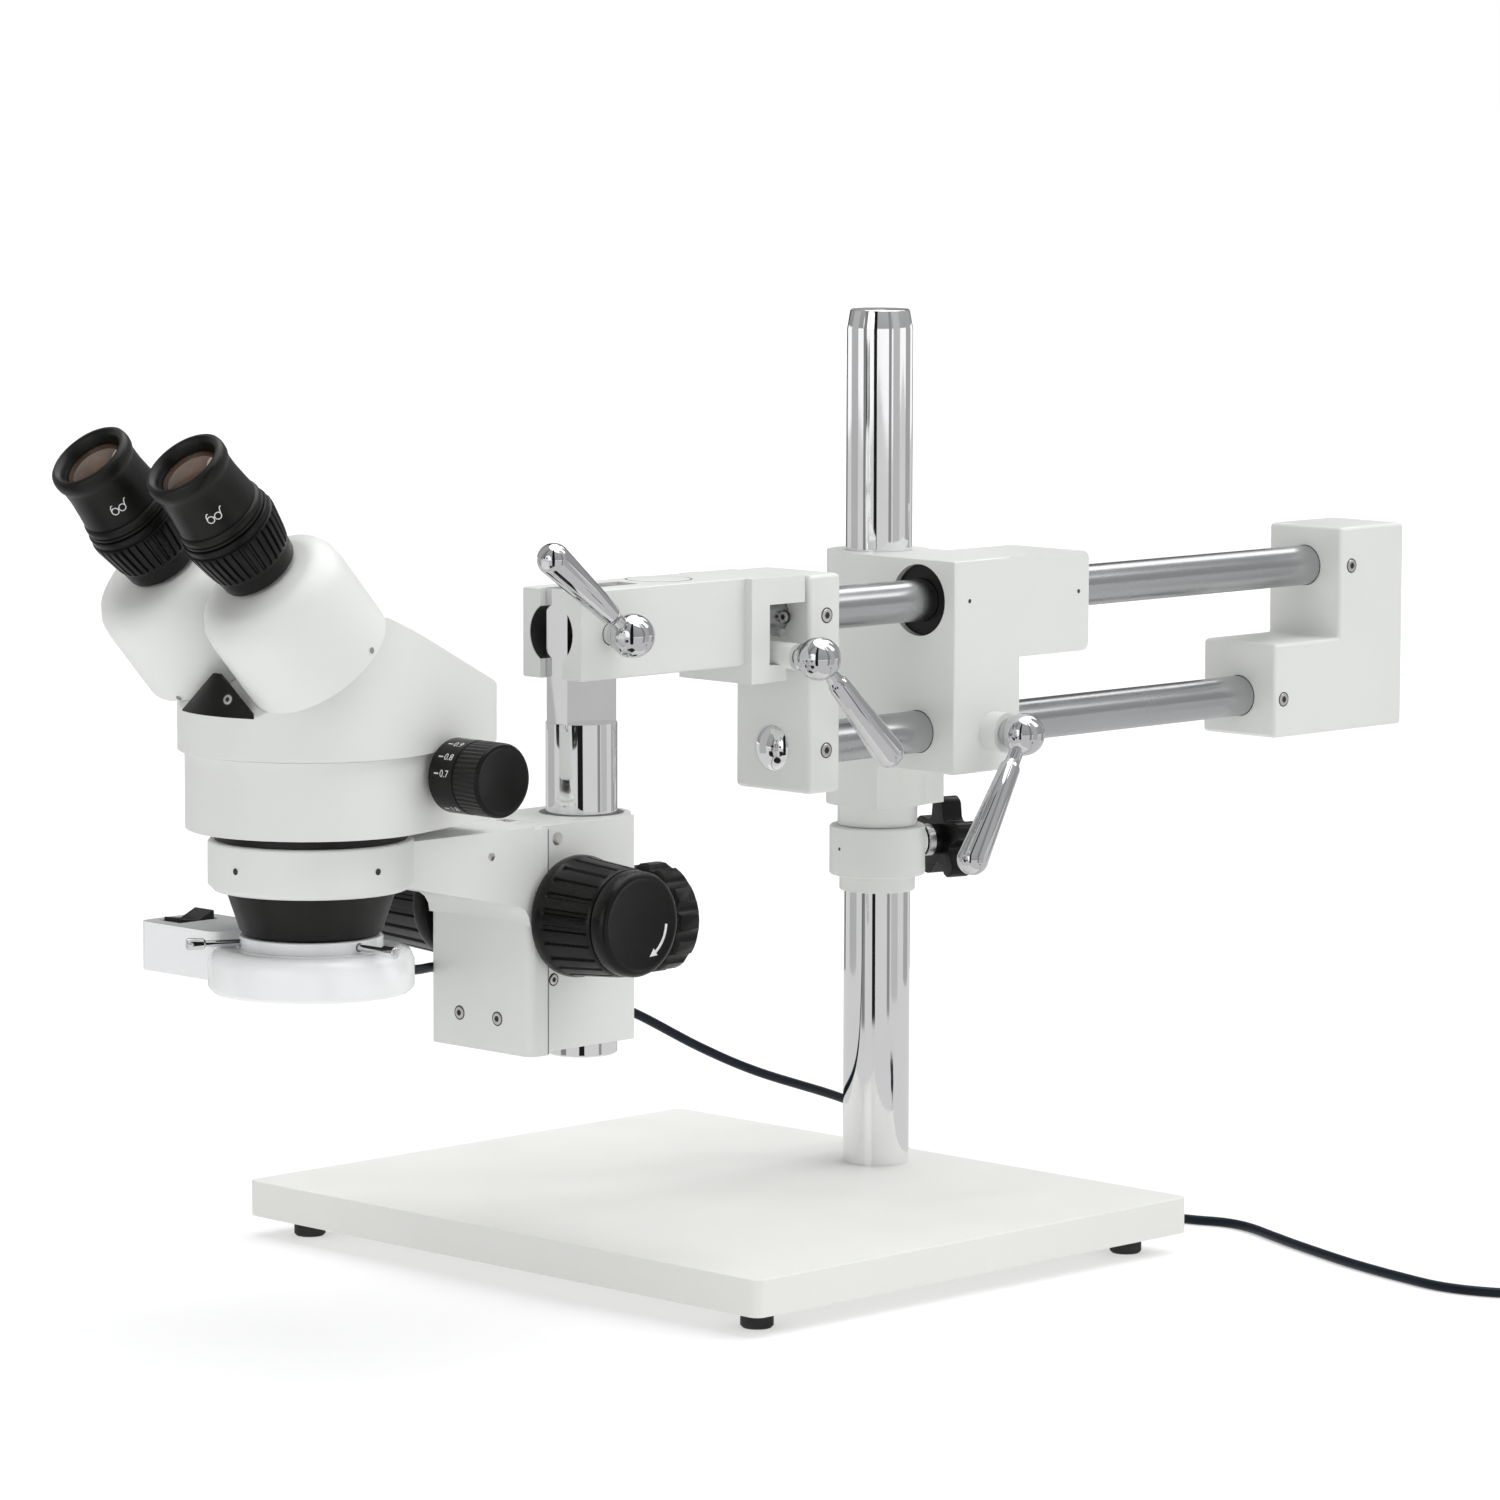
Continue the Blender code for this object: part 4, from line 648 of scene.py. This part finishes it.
def make_levers():
    """The three locking levers, each a ball on a screw with a tapered handle."""
    for name, tip, hub, end, screw in LEVERS:
        x, y, z = hub
        dy, dz = end[0] - y, end[1] - z
        length = sqrt(dy * dy + dz * dz)
        centre = place(x, y, z)
        along_screw = facing(centre, (1, 0, 0))
        sphere = [(LEVER_BALL * sin(pi * i / 24), LEVER_BALL * cos(pi * i / 24)) for i in range(1, 24)]
        ball = [(0, LEVER_BALL), *sphere, (0, -LEVER_BALL)]
        knob = turned(name + "_ball", ball, along_screw, LEVER_CHROME_SHADED, name, 48)
        end_ball = [(LEVER_END * sin(radians(a)), length + LEVER_END * cos(radians(a)))
                    for a in range(12, 100, 8)]
        handle = [(0, length + LEVER_END), *end_ball, (4.9, 17.5), (4.3, 16.2), (3.7, 15.2), (3.5, 12.6),
                  (3.5, 6), (0, 6)]
        turned(name + "_handle", handle, facing(centre, (0, dy, dz)), LEVER_CHROME_SHADED, name, 40)
        collar = [(0, -6), (6.0, -6), (6.6, -6.6), (6.6, -9.8), (6.0, -10.2), (screw, -10.2),
                  (screw, tip - x), (0, tip - x)]
        turned(name + "_screw", collar, along_screw, LEVER_CHROME_SHADED, name, 40)
        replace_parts(knob, name)


# ---- knobs ----
KNOB_RIBS = 22
LEFT_KNOB_END = 78.0
CAP_HOLLOW = 0.9               # how deep the tension cap's face lies inside its rim
ZOOM_RADIUS, ZOOM_RIBS = 16.2, 44
SCALE_STEP = 27                # degrees between two marks of the magnification scale


def make_focus_knobs():
    """Coned hand wheels with deep ribs round their grip; the right one carries a smooth cap."""
    centre = middle("pinion_shaft")
    right_high = corners("focus_knob_right")[1].x - centre.x
    ribs = grooved(KNOB_RIBS, 0.045, 0.22)
    for side, sign, end in (("right", 1, right_high), ("left", -1, LEFT_KNOB_END)):
        at = facing(place(*centre), (sign, 0, 0))
        profile = [(0, end), (22.6, end), (23.6, end - 0.5), (24.1, end - 1.6), (24.2, end - 2.0, ribs),
                   (24.5, end - 4.5, ribs), (26.2, 43.6, ribs), (26.5, 42.4, ribs), (26.6, 41.8),
                   (27.0, 40.8), (27.2, 39.6), (27.2, 37.0), (26.8, 35.8), (25.8, 35.0), (0, 35.0)]
        knob = turned("focus_grip_" + side, profile, at, GRIP, "pinion", KNOB_RIBS * 10, 28)
        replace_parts(knob, "focus_knob_" + side)
    low, high = corners("tension_cap")
    depth = high.x - low.x
    cap = [(0, depth - CAP_HOLLOW), (18.6, depth - CAP_HOLLOW), (19.6, depth - 0.6), (20.6, depth),
           (21.8, depth - 0.3), (22.8, depth - 1.2), (23.4, depth - 2.6), (23.6, 0.8), (23.3, 0), (0, 0)]
    at = facing(place(low.x, centre.y, centre.z), (1, 0, 0))
    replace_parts(turned("tension_dial", cap, at, GRIP, "tension_cap", 96), "tension_cap")
    tension_arrow(high.x - CAP_HOLLOW + 0.06, centre)


def tension_arrow(face, centre):
    """A curved arrow on the tension cap's face: a band round its middle and a three-cornered head."""
    start, sweep, steps = -4, -50, 14
    ring = []
    for i in range(steps + 1):
        a = radians(start + sweep * i / steps)
        ring += [(15.2, a), (16.6, a)]
    faces = [[2 * i, 2 * i + 1, 2 * i + 3, 2 * i + 2] for i in range(steps)]
    tail = len(ring)
    end = start + sweep
    ring += [(13.9, radians(end)), (17.9, radians(end)), (15.9, radians(end - 15))]
    faces.append([tail, tail + 1, tail + 2])
    vertices = [place(face, centre.y + radius * cos(a), centre.z + radius * sin(a)) for radius, a in ring]
    piece("tension_arrow", vertices, faces, INK, "tension_cap")


def on_cylinder(centre, radius, along, around):
    """A point on a cylinder along x: along in millimetres from its middle, around in degrees from behind."""
    a = radians(around)
    return place(centre.x + along, centre.y + radius * cos(a), centre.z + radius * sin(a))


def make_zoom_knobs():
    """A smooth inner band with the magnification scale, and a finely ribbed outer grip."""
    centre = middle("zoom_shaft")
    ribs = waved(ZOOM_RIBS, 0.025)
    for side, sign in (("right", 1), ("left", -1)):
        at = facing(place(*centre), (sign, 0, 0))
        profile = [(0, 83.2), (12.5, 83.4), (14.2, 84.3), (15.4, 84.1), (16.1, 83.2),
                   (ZOOM_RADIUS, 82.6, ribs), (ZOOM_RADIUS, 70.8, ribs), (16.0, 70.2), (15.6, 69.9),
                   (15.6, 69.3), (16.1, 69.0),
                   (ZOOM_RADIUS, 68.6), (ZOOM_RADIUS, 55.0), (15.6, 54.1), (9, 54.0), (9, 50.2), (0, 50.2)]
        knob = turned("zoom_grip_" + side, profile, at, GRIP, "zoom_control",
                      ZOOM_RIBS * 6, 28)
        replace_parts(knob, "zoom_knob_" + side)
    low, high, half = 58.2, 61.0, 1.1
    for i in range(12):
        around = 171 - SCALE_STEP * i
        spots = [(low, around - half), (high, around - half), (high, around + half), (low, around + half)]
        corners_of = [on_cylinder(centre, ZOOM_RADIUS + 0.06, along, turn) for along, turn in spots]
        piece("zoom_tick_%d" % i, corners_of, [[0, 1, 2, 3]], INK, "zoom_control")
        scale_number("zoom_number_%d" % i, "%.1f" % (0.7 + 0.1 * i), centre, 61.8, around)


def scale_number(name, text, centre, along, around):
    """A small number wrapped on the zoom knob's band, read along the knob's axis."""
    radius = ZOOM_RADIUS + 0.07
    curve = bpy.data.curves.new(name, "FONT")
    curve.body = text
    curve.size = 4.4
    curve.align_y = "CENTER"
    guide = bpy.data.objects.new(name + "_guide", curve)
    bpy.context.scene.collection.objects.link(guide)
    bpy.context.view_layer.update()
    flat = bpy.data.meshes.new_from_object(guide.evaluated_get(bpy.context.evaluated_depsgraph_get()))
    vertices = []
    for vertex in flat.vertices:
        across, up = vertex.co.x, vertex.co.y
        vertices.append(on_cylinder(centre, radius, along + across, around - degrees(up / radius)))
    faces = [list(p.vertices) for p in flat.polygons]
    bpy.data.objects.remove(guide, do_unlink=True)
    piece(name, vertices, faces, INK, "zoom_control")


# ---- eyepieces ----
TUBE_TILT = radians(42.0)
TUBE_MIDDLE = 14.65            # from a prism housing's face to the middle of the diopter tube
TUBE_RIBS = 34
SPECTACLES_TURN = -38.0        # degrees round the eyepiece from the user's right


def tube_at(side):
    """The frame of an eye tube: its z axis runs up the tube, x towards the user's side."""
    low, high = corners("diopter_tube_" + ("right" if side > 0 else "left"))
    up = Vector((0, -sin(TUBE_TILT), cos(TUBE_TILT)))
    centre = (low + high) / 2
    return facing(place(*(centre - up * TUBE_MIDDLE)), up, (1, 0, 0))


def make_eye_tubes():
    """The ribbed diopter rings, and in each an eyepiece with its rim, eye lens and mark."""
    ribs = grooved(TUBE_RIBS, 0.055)
    for name, side in (("right", 1), ("left", -1)):
        at = tube_at(side)
        tube = [(15.4, 29.0), (19.6, 29.0), (20.3, 28.7), (20.5, 28.0), (20.5, 26.4), (20.1, 26.0),
                (20.1, 25.4), (20.9, 25.0), (21.1, 24.4, ribs), (20.9, 22.0, ribs), (19.3, 12.4, ribs),
                (18.6, 9.0, ribs), (18.3, 8.2), (17.9, 7.4), (17.7, 6.4), (17.1, 1.0), (16.8, 0.3),
                (15.4, 0.3)]
        ring = turned("diopter_grip_" + name, tube, at, GRIP, "diopter_" + name,
                      TUBE_RIBS * 8, 28)
        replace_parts(ring, "diopter_tube_" + name)
        hollow = [(0, 56.4), (13.0, 56.4), (13.5, 58.4), (14.2, 60.5), (15.0, 61.6)]
        rim = [(16.2, 62.3), (17.4, 62.1), (18.2, 61.4), (18.6, 60.0), (18.7, 58.4), (18.5, 56.6),
               (18.1, 55.6), (17.8, 54.6), (17.6, 53.6), (17.5, 49.6), (17.6, 46.5), (18.2, 40.0),
               (18.6, 36.4)]
        foot = [(18.7, 35.6), (18.2, 35.2), (18.2, 34.6), (18.9, 34.3), (19.4, 33.8), (19.6, 32.8),
                (19.6, 31.6), (19.0, 31.2), (19.0, 30.8), (19.6, 30.5), (19.7, 29.6),
                (15.0, 29.4), (15.0, 4.0), (0, 4.0)]
        cup = hollow + rim + foot
        body = turned("eyecup_" + name, cup, at, BLACK, "eyepiece_" + name, 80)
        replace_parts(body, "eyepiece_" + name)
        lens = [(0, 59.4), (3, 59.3), (6, 59.0), (9, 58.4), (11.4, 57.6), (12.8, 57.0), (13.0, 56.7),
                (13.0, 56.45), (0, 56.45)]
        glass = turned("eye_glass_" + name, lens, at, GLASS, "eyepiece_" + name, 64, 60)
        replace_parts(glass, "eye_lens_" + name)
        spectacles("spectacles_" + name, at, "eyepiece_" + name)


def spectacles(name, at, body):
    """The outline of a pair of spectacles on the eyepiece: two round lenses, a bridge and two temples."""
    size, steps, middle_height, line = 1.5, 14, 42.3, 0.22
    strokes = []
    for centre in (-1.75, 1.75):
        turns = [2 * pi * i / steps for i in range(steps + 1)]
        strokes.append([(centre + size * cos(t), size * 1.05 * sin(t)) for t in turns])
    strokes.append([(-0.3, 0.4), (0.0, 0.55), (0.3, 0.4)])
    strokes.append([(3.2, 0.3), (3.7, 2.0), (4.3, 3.0), (4.9, 2.9)])
    strokes.append([(-3.2, 0.3), (-2.9, 2.0), (-2.2, 3.1), (-1.5, 2.9)])
    vertices, faces = [], []
    for stroke in strokes:
        first = len(vertices)
        for i, (u, v) in enumerate(stroke):
            before = stroke[max(i - 1, 0)]
            after = stroke[min(i + 1, len(stroke) - 1)]
            run = Vector((after[0] - before[0], after[1] - before[1])).normalized()
            side = Vector((-run.y, run.x)) * line
            for s in (-1, 1):
                height = middle_height + v + side.y * s
                radius = 17.6 + (46.5 - height) * 0.092 + 0.08    # just proud of the eyepiece's cone
                angle = radians(SPECTACLES_TURN) + (u + side.x * s) / radius
                vertices.append(at @ (Vector((radius * cos(angle), radius * sin(angle), height)) * MM))
        for i in range(len(stroke) - 1):
            k = first + 2 * i
            faces.append([k, k + 1, k + 3, k + 2])
    piece(name, vertices, faces, INK, body)


# ---- screws and small parts ----
def make_screws():
    """The socket screws, set screws and plugs of the stand, arm, focus mount and head ring."""
    plate = corners("front_plate")[1].x
    rear = corners("rear_block")[1].x
    housing = corners("focus_housing")[1].x
    upper, lower = middle("upper_rod").z, middle("lower_rod").z
    right = (1, 0, 0)
    front = (0, -1, 0)
    for name, y in (("front", -14.6), ("rear", 62.2)):
        pin_hole("block_pin_" + name, (73.3, y, upper + 0.4), right, 1.1, "boom_block")
    for name, z in (("upper", upper), ("lower", lower)):
        socket_screw("plate_screw_" + name, (plate, -112.0, z), right, 3.1, "boom")
    socket_screw("rear_screw_upper", (rear, 267.3, upper + 0.6), right, 3.1, "boom")
    socket_screw("rear_screw_lower", (rear, 215.6, lower - 0.6), right, 3.1, "boom")
    for name, x in (("left", 36.8), ("right", 61.5)):
        socket_screw("carriage_screw_" + name, (x, -307.8, 137.1), front, 2.7, "carriage")
    turned("web_plug", [(0, 0.35), (1.6, 0.3), (1.9, 0.1), (1.9, -0.5), (0, -0.5)],
           facing(place(83.0, -331.0, 213.8), right), SCREW, "carriage", 24)
    turned("housing_plug", [(0, 0.5), (2.2, 0.45), (3.0, 0.1), (3.0, -0.5), (0, -0.5)],
           facing(place(housing, -284.7, 217.0), right), SCREW, "focus_housing", 28)
    socket_screw("housing_screw", (housing, -287.2, 154.1), right, 2.3, "focus_housing")
    ring = middle("mount_ring")
    for name, turn in (("front", -87.3), ("right", -1.4)):
        a = radians(turn)
        pin_hole("ring_screw_" + name, (ring.x + 44.6 * cos(a), ring.y + 44.6 * sin(a), 215.4),
                 (cos(a), sin(a), 0), 1.6, "carriage")
    a = radians(-97.7)
    pin_hole("collar_pin", (23.2 * cos(a), 23.2 * sin(a), 181.0), (cos(a), sin(a), 0), 0.9, "collar")
    socket_screw("arm_stop_screw", (62.0, -127.4, 304.5), front, 2.6, "arm", 1.4)
    nut = [(0, 2.2), (2.2, 2.2, hexagon), (2.2, 0, hexagon), (0, 0)]
    turned("arm_stop_nut", nut, facing(place(60.0, -128.6, 297.0), right), BRUSHED, "arm", 24)


def make_arm_plug():
    """The round plug let into the arm's top, in a thin ring of painted shadow."""
    top = corners("roll_arm")[1].z
    at = facing(place(45.5, -192.5, top), (0, 0, 1))
    # A thin dark ring of painted shadow in the gap round the plug.
    seam = [(0, 0.04), (15.4, 0.04), (15.4, -0.4), (0, -0.4)]
    turned("arm_plug_painted_shade", seam, at, PAINTED_SHADE_DARK, "arm", 48)
    plug = [(0, 0.1), (14.4, 0.1), (14.7, 0.04), (14.7, -0.4), (0, -0.4)]
    turned("arm_plug", plug, at, PAINT, "arm", 48)


KNOB_HEIGHT, KNOB_TURN = 182.0, radians(75.0)      # the star knob's height, and its turn about the pillar
CAN_SIDE, CAN_FRONT, CAN_SHOULDER = 34.0, -50.3, 336.4    # the middle of a prism housing's shoulder


def can_axis(side):
    """The middle of a prism housing's shoulder."""
    head = middle("nose_cone")
    return Vector((head.x + (CAN_SIDE if side == "right" else -CAN_SIDE), head.y + CAN_FRONT, CAN_SHOULDER))


def make_small_parts():
    """Set screws in the prism housings, and the steel sleeve behind the star knob."""
    up = Vector((0, -sin(TUBE_TILT), cos(TUBE_TILT)))
    along = Vector((0, cos(TUBE_TILT), sin(TUBE_TILT)))
    for name, across_by, along_by, up_by in (("right", 32.9, 4.2, -34.4), ("left", 6.8, -32.5, -35.6)):
        outward = Vector((across_by, 0, 0)) + along * along_by
        spot = can_axis(name) + outward + up * up_by
        # These pin holes get a mid-grey painted shade instead of the near-black one.
        pin_hole("prism_pin_" + name, spot, outward, 1.5, "prism_" + name, PAINTED_SHADE)
    outward = Vector((cos(KNOB_TURN), sin(KNOB_TURN), 0))
    at = facing(place(*(outward * 25.3 + Vector((0, 0, KNOB_HEIGHT)))), outward)
    sleeve = [(0, 4.0), (7.6, 4.0), (7.9, 3.7), (7.9, 0.3), (7.6, 0), (0, 0)]
    turned("star_knob_sleeve", sleeve, at, BRUSHED, "collar_knob", 40)


COVER_FOOT, COVER_TIP = 283.2, 301.0               # heights of the gap cover's lower edge and of its tip
COVER_HALF, CROWN_RADIUS = radians(25.0), 57.3     # how far it reaches round the crown's front wall


def gap_cover_spot(across, z):
    """A point of the gap cover's face: across from -1 to 1, at a height up to the tip's."""
    head = middle("nose_cone")
    turn = across * COVER_HALF
    foot = Vector((CROWN_RADIUS * sin(turn), -CROWN_RADIUS * cos(turn), COVER_FOOT))
    tip = Vector((2.0 * across, -52.9, COVER_TIP))
    spot = foot.lerp(tip, max(z - COVER_FOOT, 0) / (COVER_TIP - COVER_FOOT))
    return Vector((head.x + spot.x, head.y + spot.y, z))


def crown_edge(across):
    """The height of the crown's sloping front just inside its wall."""
    return 281.6 + (54.6 - CROWN_RADIUS * cos(across * COVER_HALF)) * tan(TUBE_TILT) - 0.4


def bent_plate(name, low, high, material):
    """A thin plate of the gap cover's shape between two heights, each a function of the place across."""
    columns, rows, thick = 24, 6, Vector((0, 1.4, 0))
    vertices, faces = [], []
    for depth in (Vector((0, 0, 0)), thick):
        for row in range(rows + 1):
            for column in range(columns + 1):
                across = 2 * column / columns - 1
                z = low(across) + (high(across) - low(across)) * row / rows
                vertices.append(place(*(gap_cover_spot(across, z) + depth)))
    wide, layer = columns + 1, (columns + 1) * (rows + 1)
    for row in range(rows):
        for column in range(columns):
            k = row * wide + column
            faces.append([k, k + 1, k + wide + 1, k + wide])
            faces.append([layer + k, layer + k + wide, layer + k + wide + 1, layer + k + 1])
    lower = list(range(columns))
    right = [row * wide + columns for row in range(rows)]
    upper = [rows * wide + column for column in range(columns, 0, -1)]
    left = [row * wide for row in range(rows, 0, -1)]
    border = lower + right + upper + left
    for a, b in zip(border, border[1:] + border[:1]):
        faces.append([a, layer + a, layer + b, b])
    return piece(name, vertices, faces, material, "head")


def make_gap_cover():
    """The black cover in the notch between the prism housings, on the crown's raised front, and its screw."""
    cover = bent_plate("gap_cover_plate", lambda across: COVER_FOOT, lambda across: COVER_TIP, BLACK)
    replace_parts(cover, "prism_gap_cover")
    bent_plate("crown_lip", crown_edge, lambda across: max(COVER_FOOT, crown_edge(across) + 0.1), PAINT)
    screw_across, screw_height = 0.6, 290.6
    at = gap_cover_spot(screw_across, screw_height)
    side = gap_cover_spot(screw_across + 0.05, screw_height) - at
    rise = gap_cover_spot(screw_across, screw_height + 1.4) - at
    socket_screw("gap_cover_screw", at, side.cross(rise), 2.1, "head", 0.4)


def make_painted_shades():
    """The shadow line where the carriage meets the focus housing."""
    # A thin dark strip on the carriage's side at its rear edge: painted shadow of the step to the focus
    # housing.
    x, near, far, low, high = 83.05, -297.3, -296.75, 122.4, 222.9
    edge = [(x, near, low), (x, far, low), (x, far, high), (x, near, high)]
    piece("carriage_painted_shade", [place(*p) for p in edge], [[0, 1, 2, 3]], PAINTED_SHADE_DARK, "carriage")


def make_fork_pocket_shadow():
    """Painted shadow in the round pocket of the arm's slotted nose: a dark sheet on each side of the slot."""
    nose = corners("roll_arm")[0].y
    middle_x, middle_z, radius, slot, depth, steps = 50.0, 305.0, 13.9, 7.4, 34.5, 18
    limit = atan2(sqrt(radius ** 2 - slot ** 2), slot)
    for name, sign in (("right", 1), ("left", -1)):
        turns = [-limit + 2 * limit * i / steps for i in range(steps + 1)]
        outline = [(middle_x + sign * radius * cos(a), middle_z + radius * sin(a)) for a in turns]
        vertices = [place(x, nose + y, z) for y in (0.4, depth) for x, z in outline]
        count = len(outline)
        faces = [[i, i + 1, count + i + 1, count + i] for i in range(count - 1)]
        faces.append([count + i for i in range(count)])
        piece("fork_pocket_shadow_" + name, vertices, faces, SHADOW, "arm")


make_camera()
make_cord()
finish_nodes()
make_levers()
make_focus_knobs()
make_zoom_knobs()
make_eye_tubes()
make_screws()
make_arm_plug()
make_small_parts()
make_gap_cover()
make_painted_shades()
make_fork_pocket_shadow()
make_floor()
make_backdrop()
make_sky()
make_lights()
make_cards()

bpy.context.scene.view_settings.view_transform = "Standard"
bpy.context.scene.view_settings.look = "None"
